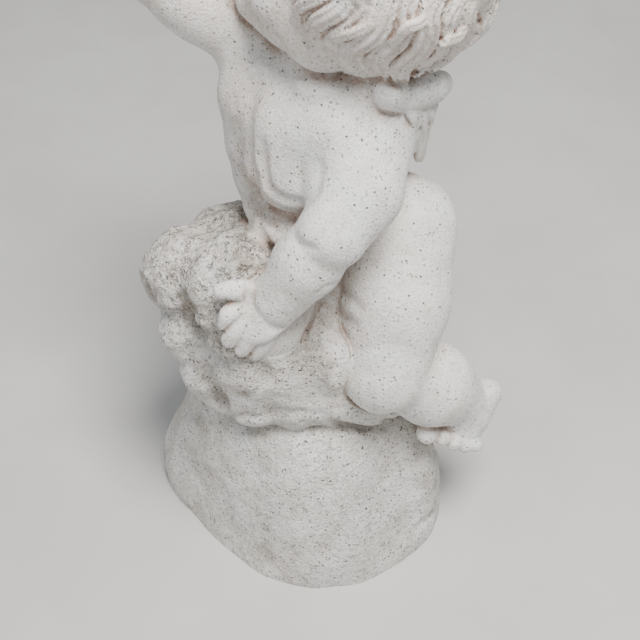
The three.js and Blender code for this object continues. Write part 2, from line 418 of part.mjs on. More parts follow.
function creases() {
  const c = [];
  for (const [way, r, k] of CREASES) {
    if (way.length > 1) tube(c, way, [abs(r)], k, 3 * way.length, { cut: r > 0 });
    else ball(c, way[0], abs(r), k, r > 0);
  }
  return c;
}

// ------------------------------------------------------------ joining the forms
const blend = (a, b, k) => { const h = max(k - abs(a - b), 0) / k; return min(a, b) - h * h * k * 0.25; };
const parts = { torso: torso(), leftArm: leftArm(), rightArm: rightArm(), leftLeg: leftLeg(), rightLeg: rightLeg(), wings: wings(), face: face(), hair: hair(), boulder: boulder(), upperRock: upperRock(), creases: creases() };
const near = (c, r, k, k0 = 2) => (x, y, z) => k0 + (k - k0) * exp(-((x - c[0]) ** 2 + (y - c[1]) ** 2 + (z - c[2]) ** 2) / (r * r));
const atShoulderL = near(add(SHOULDER_L, [-10, -20, -14]), 52, 40), atShoulderR = near(SHOULDER_R, 50, 26), atHipL = near(add(HIP_L, [10, 10, 20]), 60, 24), atHipR = near(HIP_R, 60, 24, 3);

function skin(near, x, y, z) {
  const d = (name) => {
    let v = 60;
    for (const o of near[name]) v = o.cut ? -blend(-v, o.f(x, y, z), o.k) : blend(v, o.f(x, y, z), o.k);
    return v;
  };
  let D = d("torso");
  D = blend(D, d("leftArm"), atShoulderL(x, y, z));
  D = blend(D, d("rightArm"), atShoulderR(x, y, z));
  D = blend(D, d("leftLeg"), atHipL(x, y, z));
  D = blend(D, d("rightLeg"), atHipR(x, y, z));
  D = blend(D, d("wings"), 4);
  D = blend(D, blend(d("face"), d("hair"), 2), 4);
  D = blend(D, blend(d("boulder"), d("upperRock"), 3), 2.5);
  for (const o of near.creases) D = o.cut ? -blend(-D, o.f(x, y, z), o.k) : blend(D, o.f(x, y, z), o.k);
  return D;
}

// ------------------------------------------------------------ facets
// Distances on a lattice, then a skin that crosses the lattice where they change sign.
function facet() {
  const N = LO.map((v, i) => ceil((HI[i] - v) / CELL) + 1), [nx, ny, nz] = N, id = (i, j, k) => (k * ny + j) * nx + i;
  const val = new Float32Array(nx * ny * nz).fill(60), BL = 8, names = Object.keys(parts);
  for (let k0 = 0; k0 < nz; k0 += BL) for (let j0 = 0; j0 < ny; j0 += BL) for (let i0 = 0; i0 < nx; i0 += BL) {
    const lo = [LO[0] + i0 * CELL, LO[1] + j0 * CELL, LO[2] + k0 * CELL], hi = lo.map((v) => v + BL * CELL), near = {};
    let any = 0;
    for (const n of names) {
      near[n] = parts[n].filter((o) => [0, 1, 2].every((a) => o.lo[a] <= hi[a] && o.hi[a] >= lo[a]));
      any += near[n].filter((o) => !o.cut).length;
    }
    if (!any) continue;
    for (let k = max(k0, 1); k < min(k0 + BL, nz - 1); k++) for (let j = max(j0, 1); j < min(j0 + BL, ny - 1); j++) for (let i = max(i0, 1); i < min(i0 + BL, nx - 1); i++)
      val[id(i, j, k)] = skin(near, LO[0] + i * CELL, LO[1] + j * CELL, LO[2] + k * CELL);
  }
  // Two sheets of skin that pinch together within one lattice square are joined by filling
  // the thinner of its two empty corners, so every edge of the skin has two facets.
  for (let again = true; again; ) {
    again = false;
    for (let k = 1; k < nz - 1; k++) for (let j = 1; j < ny - 1; j++) for (let i = 1; i < nx - 1; i++) {
      const b = id(i, j, k);
      for (const [u, v] of [[1, nx], [nx, nx * ny], [nx * ny, 1]]) {
        const a = val[b] < 0, c = val[b + u] < 0, d = val[b + v] < 0, e = val[b + u + v] < 0;
        if (a !== e || c !== d || a === c) continue;
        const [p, q] = a ? [b + u, b + v] : [b, b + u + v];
        val[val[p] < val[q] ? p : q] = -0.1 * CELL;
        again = true;
      }
    }
  }
  // one corner for each separate sheet of skin in each cube of the lattice
  const step = [0, 1, nx, nx + 1, nx * ny, nx * ny + 1, nx * ny + nx, nx * ny + nx + 1];
  const edges = [], faces = [];
  for (let p = 0; p < 8; p++) for (const d of [1, 2, 4]) if (!(p & d)) edges.push([p, p | d]);
  const number = new Map(edges.map(([p, q], i) => [p * 8 + q, i]));
  for (const d of [1, 2, 4]) for (const side of [0, d]) {
    const [u, v] = [1, 2, 4].filter((w) => w !== d), c = [side, side | u, side | u | v, side | v];
    faces.push(c.map((p, i) => { const q = c[(i + 1) % 4]; return [number.get(min(p, q) * 8 + max(p, q)), p, q]; }));
  }
  const cube = new Int32Array(val.length).fill(-1), corner = [], pos = [], tri = [];
  const group = new Int32Array(12);
  const find = (e) => { while (group[e] !== e) e = group[e]; return e; };
  for (let k = 0; k < nz - 1; k++) for (let j = 0; j < ny - 1; j++) for (let i = 0; i < nx - 1; i++) {
    const b = id(i, j, k);
    let m = 0;
    for (let c = 0; c < 8; c++) if (val[b + step[c]] < 0) m |= 1 << c;
    if (m === 0 || m === 255) continue;
    for (let e = 0; e < 12; e++) group[e] = e;
    for (const f of faces) {
      const cut = f.filter(([, p, q]) => ((m >> p) & 1) !== ((m >> q) & 1));
      if (cut.length === 2) group[find(cut[0][0])] = find(cut[1][0]);
      if (cut.length === 4) for (let n = 0; n < 4; n++) if ((m >> f[n][2]) & 1) group[find(f[n][0])] = find(f[(n + 1) % 4][0]);
    }
    cube[b] = corner.length / 12;
    const base = corner.length, made = new Map();
    for (let e = 0; e < 12; e++) {
      const [p, q] = edges[e];
      if (((m >> p) & 1) === ((m >> q) & 1)) { corner.push(-1); continue; }
      const g = find(e), u = val[b + step[p]], v = val[b + step[q]], t = u / (u - v), d = p ^ q;
      if (!made.has(g)) made.set(g, [0, 0, 0, 0, pos.length / 3 + made.size]);
      const w = made.get(g);
      w[0] += (p & 1) + t * (d & 1); w[1] += ((p >> 1) & 1) + t * ((d >> 1) & 1); w[2] += (p >> 2) + t * (d >> 2); w[3]++;
      corner.push(w[4]);
    }
    for (const w of made.values()) pos.push(LO[0] + (i + w[0] / w[3]) * CELL, LO[1] + (j + w[1] / w[3]) * CELL, LO[2] + (k + w[2] / w[3]) * CELL);
  }
  // and a four-sided facet across each lattice edge that the skin crosses
  for (let k = 0; k < nz - 1; k++) for (let j = 1; j < ny - 1; j++) for (let i = 1; i < nx - 1; i++) {
    const b = id(i, j, k);
    for (const [d, u, v] of [[1, 2, 4], [2, 4, 1], [4, 1, 2]]) {
      const s = val[b] < 0;
      if (s === val[b + step[d]] < 0) continue;
      const q = [[0, 0], [1, 0], [1, 1], [0, 1]].map(([x, y]) => {
        const p = x * u | y * v; // the lattice edge seen from the cube that lies this far back
        return corner[cube[b - step[p]] * 12 + number.get(p * 8 + (p | d))];
      });
      if (!s) q.reverse();
      const P = q.map((w) => [pos[w * 3], pos[w * 3 + 1], pos[w * 3 + 2]]), D = sub(P[0], P[2]), E = sub(P[1], P[3]);
      if (dot(D, D) < dot(E, E)) tri.push(q[0], q[1], q[2], q[0], q[2], q[3]);
      else tri.push(q[0], q[1], q[3], q[1], q[2], q[3]);
    }
  }
  return outer(pos, tri);
}

// Only the outer skin: a pocket closed in between two forms is solid stone.
function outer(pos, tri) {
  const root = Int32Array.from({ length: pos.length / 3 }, (_, i) => i);
  const find = (v) => { while (root[v] !== v) v = root[v] = root[root[v]]; return v; };
  for (let i = 0; i < tri.length; i += 3) for (const v of [tri[i + 1], tri[i + 2]]) root[find(v)] = find(tri[i]);
  const size = new Map();
  for (let v = 0; v < root.length; v++) size.set(find(v), (size.get(find(v)) || 0) + 1);
  const main = [...size].reduce((a, b) => (b[1] > a[1] ? b : a))[0], keep = [];
  for (let i = 0; i < tri.length; i += 3) if (find(tri[i]) === main) keep.push(tri[i], tri[i + 1], tri[i + 2]);
  return { pos: Float64Array.from(pos), tri: Int32Array.from(keep) };
}

// How much a spot's shape matters when facets are merged: the face and hands most, plain rock least.
function care([x, y, z]) {
  const spot = (c, r) => exp(-((x - c[0]) ** 2 + (y - c[1]) ** 2 + (z - c[2]) ** 2) / (r * r));
  return 1 + 14 * spot(HEAD.p([70, 0, -20]), 50) + 8 * spot([-46, -92, 344], 38) + 8 * spot(add(WRIST_R, [4, -8, 50]), 48) + 4 * spot([170, -58, 145], 45) + (z < 180 ? -0.4 : 0);
}

// Merges neighbouring corners, cheapest first, until `keep` facets are left. An edge is
// merged only where the skin stays one closed sheet and no facet turns over.
function merge({ pos, tri }, keep) {
  const n = pos.length / 3, m = tri.length / 3, Q = new Float64Array(n * 10), around = Array.from({ length: n }, () => new Set()), dead = new Uint8Array(m), age = new Int32Array(n);
  const P = (v) => [pos[v * 3], pos[v * 3 + 1], pos[v * 3 + 2]];
  const weight = new Float64Array(n);
  for (let v = 0; v < n; v++) weight[v] = care(P(v));
  for (let t = 0; t < m; t++) {
    const [a, b, c] = [tri[t * 3], tri[t * 3 + 1], tri[t * 3 + 2]], A = P(a), N = cross(sub(P(b), A), sub(P(c), A)), L = sqrt(dot(N, N)) || 1e-12, u = mul(N, 1 / L), d = -dot(u, A);
    for (const v of [a, b, c]) {
      around[v].add(t);
      const w = L * 0.5;
      [u[0] * u[0], u[0] * u[1], u[0] * u[2], u[0] * d, u[1] * u[1], u[1] * u[2], u[1] * d, u[2] * u[2], u[2] * d, d * d].forEach((x, i) => (Q[v * 10 + i] += w * x));
    }
  }
  const cost = (q, [x, y, z]) => q[0] * x * x + 2 * q[1] * x * y + 2 * q[2] * x * z + 2 * q[3] * x + q[4] * y * y + 2 * q[5] * y * z + 2 * q[6] * y + q[7] * z * z + 2 * q[8] * z + q[9];
  const best = (a, b) => {
    const q = new Float64Array(10);
    for (let i = 0; i < 10; i++) q[i] = Q[a * 10 + i] + Q[b * 10 + i];
    const A = P(a), B = P(b), M = mul(add(A, B), 0.5), len = dot(sub(A, B), sub(A, B));
    // a slight pull toward the edge's middle keeps the corner where the skin is flat
    const e = 1e-3 * (q[0] + q[4] + q[7]) + 1e-9, a0 = q[0] + e, a4 = q[4] + e, a7 = q[7] + e, r0 = e * M[0] - q[3], r1 = e * M[1] - q[6], r2 = e * M[2] - q[8];
    const c00 = a4 * a7 - q[5] * q[5], c01 = q[2] * q[5] - q[1] * a7, c02 = q[1] * q[5] - q[2] * a4, det = a0 * c00 + q[1] * c01 + q[2] * c02;
    let p = M;
    if (det > 1e-14) {
      const c11 = a0 * a7 - q[2] * q[2], c12 = q[1] * q[2] - a0 * q[5], c22 = a0 * a4 - q[1] * q[1];
      const s = [(c00 * r0 + c01 * r1 + c02 * r2) / det, (c01 * r0 + c11 * r1 + c12 * r2) / det, (c02 * r0 + c12 * r1 + c22 * r2) / det];
      if (dot(sub(s, M), sub(s, M)) < 4 * len) p = s;
    }
    return { c: (max(cost(q, p), 0) + 1e-5 * len * len) * max(weight[a], weight[b]), p };
  };
  // a heap of edges by cost
  const heap = [];
  const push = (e) => { heap.push(e); let i = heap.length - 1; while (i > 0) { const p = (i - 1) >> 1; if (heap[p].c <= heap[i].c) break; [heap[p], heap[i]] = [heap[i], heap[p]]; i = p; } };
  const pop = () => {
    const top = heap[0], last = heap.pop();
    if (heap.length) { heap[0] = last; let i = 0; for (;;) { let c = 2 * i + 1; if (c >= heap.length) break; if (c + 1 < heap.length && heap[c + 1].c < heap[c].c) c++; if (heap[i].c <= heap[c].c) break; [heap[c], heap[i]] = [heap[i], heap[c]]; i = c; } }
    return top;
  };
  const ring = (v) => { const s = new Set(); for (const t of around[v]) for (let i = 0; i < 3; i++) s.add(tri[t * 3 + i]); s.delete(v); return s; };
  const offer = (a, b) => { const { c, p } = best(a, b); push({ c, p, a, b, s: age[a] + age[b] }); };
  let left = m, round = 0;
  const gone = new Uint8Array(n);
  while (left > keep) {
    if (!heap.length) { // start again with a looser rule on how far a facet may turn
      if (++round > 5) break;
      for (let t = 0; t < m; t++) if (!dead[t]) for (let i = 0; i < 3; i++) { const a = tri[t * 3 + i], b = tri[t * 3 + ((i + 1) % 3)]; if (a < b) offer(a, b); }
    }
    const { a, b, p, s } = pop();
    if (gone[a] || gone[b] || s !== age[a] + age[b]) continue;
    const ra = ring(a), rb = ring(b);
    let shared = 0;
    for (const v of ra) if (rb.has(v)) shared++;
    if (shared !== 2 || ra.size + rb.size - 4 > 15) continue;
    // the facets that would move, and the way the skin faces here
    const moved = [], mean = [0, 0, 0];
    for (const v of [a, b]) for (const t of around[v]) {
      const c = [tri[t * 3], tri[t * 3 + 1], tri[t * 3 + 2]], o = c.map(P), O = cross(sub(o[1], o[0]), sub(o[2], o[0]));
      if (v === a || !c.includes(a)) for (let i = 0; i < 3; i++) mean[i] += O[i];
      if (!(c.includes(a) && c.includes(b))) moved.push([c.map((w) => (w === v ? p : P(w))), o, O]);
    }
    const longest = (c) => max(dot(sub(c[1], c[0]), sub(c[1], c[0])), dot(sub(c[2], c[1]), sub(c[2], c[1])), dot(sub(c[0], c[2]), sub(c[0], c[2])));
    const lm = sqrt(dot(mean, mean));
    const ok = moved.every(([q, o, O]) => {
      const N = cross(sub(q[1], q[0]), sub(q[2], q[0])), ln = sqrt(dot(N, N)), lo = sqrt(dot(O, O)), thin = lo < 0.25 * longest(o);
      if (dot(N, mean) < (0.1 - 0.04 * round) * ln * lm) return false;
      if (!thin && dot(N, O) < (0.5 - 0.08 * round) * ln * lo) return false;
      return ln > 0.12 * longest(q) || ln / longest(q) > (lo / longest(o)) * 0.99;
    });
    if (!ok) continue;
    for (const t of [...around[b]]) {
      const i = t * 3, has = tri[i] === a || tri[i + 1] === a || tri[i + 2] === a;
      if (has) { dead[t] = 1; left--; for (let x = 0; x < 3; x++) around[tri[i + x]].delete(t); }
      else { for (let x = 0; x < 3; x++) if (tri[i + x] === b) tri[i + x] = a; around[a].add(t); }
    }
    gone[b] = 1;
    weight[a] = max(weight[a], weight[b]);
    [pos[a * 3], pos[a * 3 + 1], pos[a * 3 + 2]] = p;
    for (let i = 0; i < 10; i++) Q[a * 10 + i] += Q[b * 10 + i];
    age[a]++;
    for (const v of ring(a)) offer(min(a, v), max(a, v));
  }
  const map = new Int32Array(n).fill(-1), P2 = [], T2 = [];
  for (let t = 0; t < m; t++) if (!dead[t]) for (let i = 0; i < 3; i++) { const v = tri[t * 3 + i]; if (map[v] < 0) { map[v] = P2.length / 3; P2.push(...P(v)); } T2.push(map[v]); }
  return { pos: Float32Array.from(P2), tri: Uint32Array.from(T2) };
}

// ------------------------------------------------------------ the casting
const wasm = await Module();
wasm.setup();
const solid = (pos, tri) => new wasm.Manifold(new wasm.Mesh({ numProp: 3, vertProperties: pos, triVerts: tri }));
const fine = merge(facet(), FACETS);
// the ground: everything below it is cut away, so the underside is one flat face
const ground = new THREE.BoxGeometry(1200, 1200, 200).translate(0, 0, -100);
ground.deleteAttribute("normal");
ground.deleteAttribute("uv");
const slab = mergeVertices(ground);
const cast = solid(fine.pos, fine.tri).subtract(solid(slab.attributes.position.array, new Uint32Array(slab.index.array)));
const { vertProperties, triVerts } = cast.getMesh();
const geometry = new THREE.BufferGeometry();
geometry.setAttribute("position", new THREE.BufferAttribute(vertProperties, 3));
geometry.setIndex(new THREE.BufferAttribute(triVerts, 1));
geometry.computeVertexNormals();

const stone = new THREE.MeshStandardMaterial({ name: "cast_stone", color: 0xcdc7bb, roughness: 0.9, metalness: 0 });
const statue = new THREE.Mesh(geometry, stone);
statue.name = "cherub_statue";
statue.position.set(-CENTRE[0], -CENTRE[1], 0);

const group = new THREE.Group();
group.add(statue);
export default group;
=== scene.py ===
import bpy
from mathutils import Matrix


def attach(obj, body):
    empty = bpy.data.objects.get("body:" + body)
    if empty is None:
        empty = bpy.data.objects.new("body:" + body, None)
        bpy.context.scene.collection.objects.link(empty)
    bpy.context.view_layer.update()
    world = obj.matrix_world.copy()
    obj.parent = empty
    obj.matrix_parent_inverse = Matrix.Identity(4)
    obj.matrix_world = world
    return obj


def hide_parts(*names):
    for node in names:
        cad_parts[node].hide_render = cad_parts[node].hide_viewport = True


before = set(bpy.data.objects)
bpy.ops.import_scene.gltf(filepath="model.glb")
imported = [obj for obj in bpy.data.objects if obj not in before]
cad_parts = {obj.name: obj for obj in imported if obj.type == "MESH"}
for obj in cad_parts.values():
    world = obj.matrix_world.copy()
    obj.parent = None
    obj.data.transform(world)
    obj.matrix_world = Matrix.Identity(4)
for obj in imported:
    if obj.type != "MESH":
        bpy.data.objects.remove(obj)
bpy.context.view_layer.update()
import bpy, bmesh
import numpy as np
from math import sqrt, sin, cos, pi, radians
from mathutils import Vector
from concurrent.futures import ThreadPoolExecutor
# A cast-stone garden statue: a winged child seated on a rock. The casting is sculpted as one distance field, in
# millimetres, from rounded cones, eggs and tubes blended together, then meshed, weathered and given its finish.
F32 = np.float32

# ---------------------------------------------------------------- vectors
def V(*a): return np.array(a[0] if len(a) == 1 else a, float)
def unit(a):
    a = V(a); return a / np.linalg.norm(a)
def lerp(a, b, t): return V(a) + (V(b) - V(a)) * t

class Frame:
    """A local frame: x forward, y left, z up, at a centre, in millimetres."""
    def __init__(self, c, fwd, up, s=1.0):
        self.c = V(c); self.s = s
        f = unit(fwd); u = V(up) - f * np.dot(V(up), f); u = unit(u)
        l = np.cross(u, f)
        self.R = np.array([f, l, u])           # rows are the axes
    def p(self, q): return self.c + (V(q) * self.s) @ self.R
    def d(self, q): return V(q) @ self.R
WORLD = Frame((0, 0, 0), (1, 0, 0), (0, 0, 1))

# ---------------------------------------------------------------- operations
class Group:
    def __init__(self): self.ops = []
    def put(self, lo, hi, fn, k, cut=False):
        pad = abs(k) + 3
        self.ops.append((np.array(lo, float) - pad, np.array(hi, float) + pad, fn, k, cut))

def _cone(a, b, ra, rb, flat=None, s=1.0):
    a = V(a); b = V(b); ab = b - a; L2 = max(float(ab @ ab), 1e-9)
    a = a.astype(F32); ab = ab.astype(F32); L2 = F32(L2); ra = F32(ra); dr = F32(rb) - ra
    if flat is None:
        def f(x, y, z):
            x = x - a[0]; y = y - a[1]; z = z - a[2]
            t = np.clip((x * ab[0] + y * ab[1] + z * ab[2]) / L2, 0, 1)
            x -= t * ab[0]; y -= t * ab[1]; z -= t * ab[2]
            return np.sqrt(x * x + y * y + z * z) - (ra + dr * t)
        return f
    n = unit(flat).astype(F32); g = F32(1 / s - 1); s = F32(s)
    def f(x, y, z):
        x = x - a[0]; y = y - a[1]; z = z - a[2]
        t = np.clip((x * ab[0] + y * ab[1] + z * ab[2]) / L2, 0, 1)
        x -= t * ab[0]; y -= t * ab[1]; z -= t * ab[2]
        w = (x * n[0] + y * n[1] + z * n[2])
        q = np.sqrt(np.maximum(x * x + y * y + z * z - w * w, 0) + (w / s) ** 2)
        r = ra + dr * t
        # scale the distance by how far the section is squashed in this direction
        m = np.sqrt(np.maximum(x * x + y * y + z * z, 1e-6))
        return (q - r) * m / np.maximum(q, 1e-3)
    return f

def cone(g, a, b, ra, rb, k=6, flat=None, s=1.0, cut=False):
    a = V(a); b = V(b); r = max(ra, rb)
    g.put(np.minimum(a, b) - r, np.maximum(a, b) + r, _cone(a, b, ra, rb, flat, s), k, cut)

def ball(g, c, r, k=6, cut=False): cone(g, c, V(c) + V(0, 0, 1e-3), r, r, k, cut=cut)

def egg(g, c, r, fr=WORLD, k=6, cut=False):
    """Ellipsoid at c (world), radii r along the frame's axes."""
    c = V(c); r = V(r); R = fr.R.astype(F32)
    ext = np.sqrt(((fr.R * r[:, None]) ** 2).sum(0))
    ir = (1 / r).astype(F32); ir2 = (1 / (r * r)).astype(F32); cc = c.astype(F32); rm = F32(r.min())
    def f(x, y, z):
        x = x - cc[0]; y = y - cc[1]; z = z - cc[2]
        a = x * R[0, 0] + y * R[0, 1] + z * R[0, 2]
        b = x * R[1, 0] + y * R[1, 1] + z * R[1, 2]
        e = x * R[2, 0] + y * R[2, 1] + z * R[2, 2]
        k0 = np.sqrt((a * ir[0]) ** 2 + (b * ir[1]) ** 2 + (e * ir[2]) ** 2)
        k1 = np.sqrt((a * ir2[0]) ** 2 + (b * ir2[1]) ** 2 + (e * ir2[2]) ** 2)
        return np.where(k1 > 1e-9, k0 * (k0 - 1) / np.maximum(k1, 1e-9), -rm)
    g.put(c - ext, c + ext, f, k, cut)

def plane(g, n, d, k=10):
    """Takes away everything beyond the plane n.p = d, with an edge eased over k."""
    L = float(np.linalg.norm(V(n))); n = unit(n).astype(F32); d = F32(d / L)
    g.ops.append((np.full(3, -1e6), np.full(3, 1e6), lambda x, y, z: d - (x * n[0] + y * n[1] + z * n[2]), k, True))

def shell(g, c, r, plane_n, plane_d, k=1, soft=0.6):
    """Part of a ball on one side of a plane through the ball: an eyelid."""
    c = V(c); n = unit(plane_n).astype(F32); cc = c.astype(F32)
    def f(x, y, z):
        x = x - cc[0]; y = y - cc[1]; z = z - cc[2]
        d = np.sqrt(x * x + y * y + z * z) - F32(r)
        e = -(x * n[0] + y * n[1] + z * n[2]) + F32(plane_d)
        h = np.maximum(soft - np.abs(d - e), 0) / soft
        return np.maximum(d, e) + h * h * soft / 4
    g.put(c - r, c + r, f, k)

def catmull(pts, n):
    """n points along a smooth curve through pts."""
    pts = [V(p) for p in pts]
    P = [2 * pts[0] - pts[1]] + pts + [2 * pts[-1] - pts[-2]]
    out = []
    for i in range(n):
        t = i / (n - 1) * (len(pts) - 1); j = min(int(t), len(pts) - 2); u = t - j
        a, b, c, d = P[j], P[j + 1], P[j + 2], P[j + 3]
        out.append(0.5 * (2 * b + (c - a) * u + (2 * a - 5 * b + 4 * c - d) * u * u + (3 * b - a - 3 * c + d) * u ** 3))
    return out

def tube(g, pts, radii, k=3, n=10, cut=False, flat=None, s=1.0):
    pts = catmull(pts, n) if n else [V(p) for p in pts]
    m = len(pts); rs = [float(np.interp(i / (m - 1), np.linspace(0, 1, len(radii)), radii)) for i in range(m)]
    fs = [_cone(pts[i], pts[i + 1], rs[i], rs[i + 1], flat, s) for i in range(m - 1)]
    P = np.array(pts); R = max(rs)
    def f(x, y, z):
        d = fs[0](x, y, z)
        for q in fs[1:]: d = np.minimum(d, q(x, y, z))
        return d
    g.put(P.min(0) - R, P.max(0) + R, f, k, cut)

def lock(g, pts, radii, normals, k=2, n=12, thick=0.6, strands=4, depth=0.16, phase=0.0):
    """A lock of hair: a flattened, tapering tube, its back turned to the normals, with strands cut along it."""
    pts = np.array(catmull(pts, n)); nor = np.array([unit(v) for v in catmull(normals, n)])
    m = len(pts); rs = np.interp(np.linspace(0, 1, m), np.linspace(0, 1, len(radii)), radii)
    R = float(max(rs))
    segs = []
    for i in range(m - 1):
        ab = pts[i + 1] - pts[i]; L = np.linalg.norm(ab)
        if L < 1e-6: continue
        T = ab / L; N = nor[i] + nor[i + 1]; N = unit(N - T * (N @ T)); B = np.cross(T, N)
        segs.append([a.astype(F32) for a in (pts[i], ab, N, B)] + [F32(L * L), F32(rs[i]), F32(rs[i + 1] - rs[i])])
    it = F32(1 / thick)
    def f(x, y, z):
        best = None
        for a, ab, N, B, L2, r0, dr in segs:
            px = x - a[0]; py = y - a[1]; pz = z - a[2]
            t = np.clip((px * ab[0] + py * ab[1] + pz * ab[2]) / L2, 0, 1)
            px -= t * ab[0]; py -= t * ab[1]; pz -= t * ab[2]
            w = px * N[0] + py * N[1] + pz * N[2]
            b = px * B[0] + py * B[1] + pz * B[2]
            m2 = px * px + py * py + pz * pz
            q = np.sqrt(np.maximum(m2 - w * w, 0) + (w * it) ** 2)
            r = r0 + dr * t
            u = b / np.maximum(r, 0.5)
            rr = r * (1 - depth * (0.5 - 0.5 * np.cos(u * (pi * strands) + phase)) * (np.abs(u) < 1.3))
            d = (q - rr) * np.sqrt(np.maximum(m2, 1e-6)) / np.maximum(q, 1e-3)
            best = d if best is None else np.minimum(best, d)
        return best
    g.put(pts.min(0) - R, pts.max(0) + R, f, k)

def smin(a, b, k):
    h = np.maximum(k - np.abs(a - b), 0) / np.maximum(k, 1e-6)
    return np.minimum(a, b) - h * h * k * F32(0.25)
def smax(a, b, k): return -smin(-a, -b, k)

FAR = F32(60)
def run_group(ops, blo, bhi, X, Y, Z):
    D = np.full(X.shape, FAR, F32)
    for lo, hi, fn, k, cut in ops:
        m = np.nonzero((blo[:, 0] <= hi[0]) & (bhi[:, 0] >= lo[0]) & (blo[:, 1] <= hi[1]) & (bhi[:, 1] >= lo[1]) & (blo[:, 2] <= hi[2]) & (bhi[:, 2] >= lo[2]))[0]
        if not len(m): continue
        d = fn(X[m], Y[m], Z[m]); o = D[m]
        D[m] = smax(o, -d, F32(k)) if cut else smin(o, d, F32(k))
    return D

def mesh_of(model, lo, hi, h, B=8, band=24.0, threads=4):
    """Surface nets of model.field over a narrow band. Returns vertices (mm) and quads."""
    lo = np.array(lo, float); nb = np.ceil((np.array(hi, float) - lo) / (B * h)).astype(int)
    s = B * h
    g = np.stack(np.meshgrid(*[np.arange(k) for k in nb], indexing="ij"), -1).reshape(-1, 3)
    c = (lo + (g + 0.5) * s - h / 2)
    def coarse(sl):
        q = c[sl].astype(F32)
        blo = q - s / 2 - band; bhi = q + s / 2 + band
        return model(blo, bhi, q[:, :1], q[:, 1:2], q[:, 2:3])[:, 0]
    parts = np.array_split(np.arange(len(c)), max(1, len(c) // 3000))
    with ThreadPoolExecutor(threads) as ex: dc = np.concatenate(list(ex.map(coarse, parts)))
    act = np.nonzero(np.abs(dc) < band)[0]
    ga = g[act]
    off = np.stack(np.meshgrid(*[np.arange(B)] * 3, indexing="ij"), -1).reshape(-1, 3) * h
    def fine(sl):
        base = lo + ga[sl] * s
        q = (base[:, None, :] + off[None]).astype(F32)
        return model(base, base + s, q[..., 0].copy(), q[..., 1].copy(), q[..., 2].copy())
    parts = np.array_split(np.arange(len(ga)), max(1, len(ga) // 96))
    with ThreadPoolExecutor(threads) as ex: vals = np.concatenate(list(ex.map(fine, parts)))
    full = np.where(dc.reshape(nb) < 0, F32(-50), F32(50))
    dense = np.repeat(np.repeat(np.repeat(full, B, 0), B, 1), B, 2)
    view = dense.reshape(nb[0], B, nb[1], B, nb[2], B)
    view[ga[:, 0], :, ga[:, 1], :, ga[:, 2], :] = vals.reshape(-1, B, B, B)
    ins = dense < 0
    # active cells
    a = np.zeros(np.array(ins.shape) - 1, np.uint8)
    for i in (0, 1):
        for j in (0, 1):
            for k in (0, 1):
                a += ins[i:ins.shape[0] - 1 + i, j:ins.shape[1] - 1 + j, k:ins.shape[2] - 1 + k]
    cells = np.argwhere((a > 0) & (a < 8)); del a
    n = len(cells); ids = -np.ones(np.array(ins.shape) - 1, np.int32)
    ids[cells[:, 0], cells[:, 1], cells[:, 2]] = np.arange(n)
    corner = [(i, j, k) for i in (0, 1) for j in (0, 1) for k in (0, 1)]
    val = np.stack([dense[cells[:, 0] + i, cells[:, 1] + j, cells[:, 2] + k] for i, j, k in corner], 1)
    acc = np.zeros((n, 3)); cnt = np.zeros(n)
    for p in range(8):
        for q in range(p + 1, 8):
            if bin(p ^ q).count("1") != 1: continue
            va, vb = val[:, p], val[:, q]; m = (va < 0) != (vb < 0)
            t = (va[m] / (va[m] - vb[m]))[:, None]
            A = np.array(corner[p], float); Bc = np.array(corner[q], float)
            acc[m] += A + (Bc - A) * t; cnt[m] += 1
    verts = lo + (cells + acc / cnt[:, None]) * h
    quads = []
    for ax in range(3):
        sl0 = [slice(None)] * 3; sl1 = [slice(None)] * 3
        sl0[ax] = slice(0, -1); sl1[ax] = slice(1, None)
        A = ins[tuple(sl0)]; Bn = ins[tuple(sl1)]
        e = np.argwhere(A != Bn)
        o1, o2 = [(1, 2), (2, 0), (0, 1)][ax]
        e = e[(e[:, o1] > 0) & (e[:, o2] > 0) & (e[:, o1] < ids.shape[o1]) & (e[:, o2] < ids.shape[o2])]
        def cid(d1, d2):
            q = e.copy(); q[:, o1] -= d1; q[:, o2] -= d2
            return ids[q[:, 0], q[:, 1], q[:, 2]]
        qd = np.stack([cid(0, 0), cid(1, 0), cid(1, 1), cid(0, 1)], 1)
        flip = ~A[e[:, 0], e[:, 1], e[:, 2]]
        qd[flip] = qd[flip][:, ::-1]
        quads.append(qd)
    quads = np.concatenate(quads)
    return verts, quads

def biggest(verts, quads):
    """Keeps only the largest connected part (label propagation)."""
    n = len(verts); lab = np.arange(n)
    e = np.concatenate([quads[:, [0, 1]], quads[:, [1, 2]], quads[:, [2, 3]], quads[:, [3, 0]]])
    while True:
        m = np.minimum(lab[e[:, 0]], lab[e[:, 1]])
        new = lab.copy(); np.minimum.at(new, e[:, 0], m); np.minimum.at(new, e[:, 1], m)
        new = new[new]; new = new[new]
        if (new == lab).all(): break
        lab = new
    u, c = np.unique(lab, return_counts=True)
    keep = lab == u[c.argmax()]
    idx = -np.ones(n, int); idx[keep] = np.arange(keep.sum())
    return verts[keep], idx[quads[keep[quads[:, 0]]]], sorted(c.tolist())[::-1][:5]

# ---------------------------------------------------------------- the figure

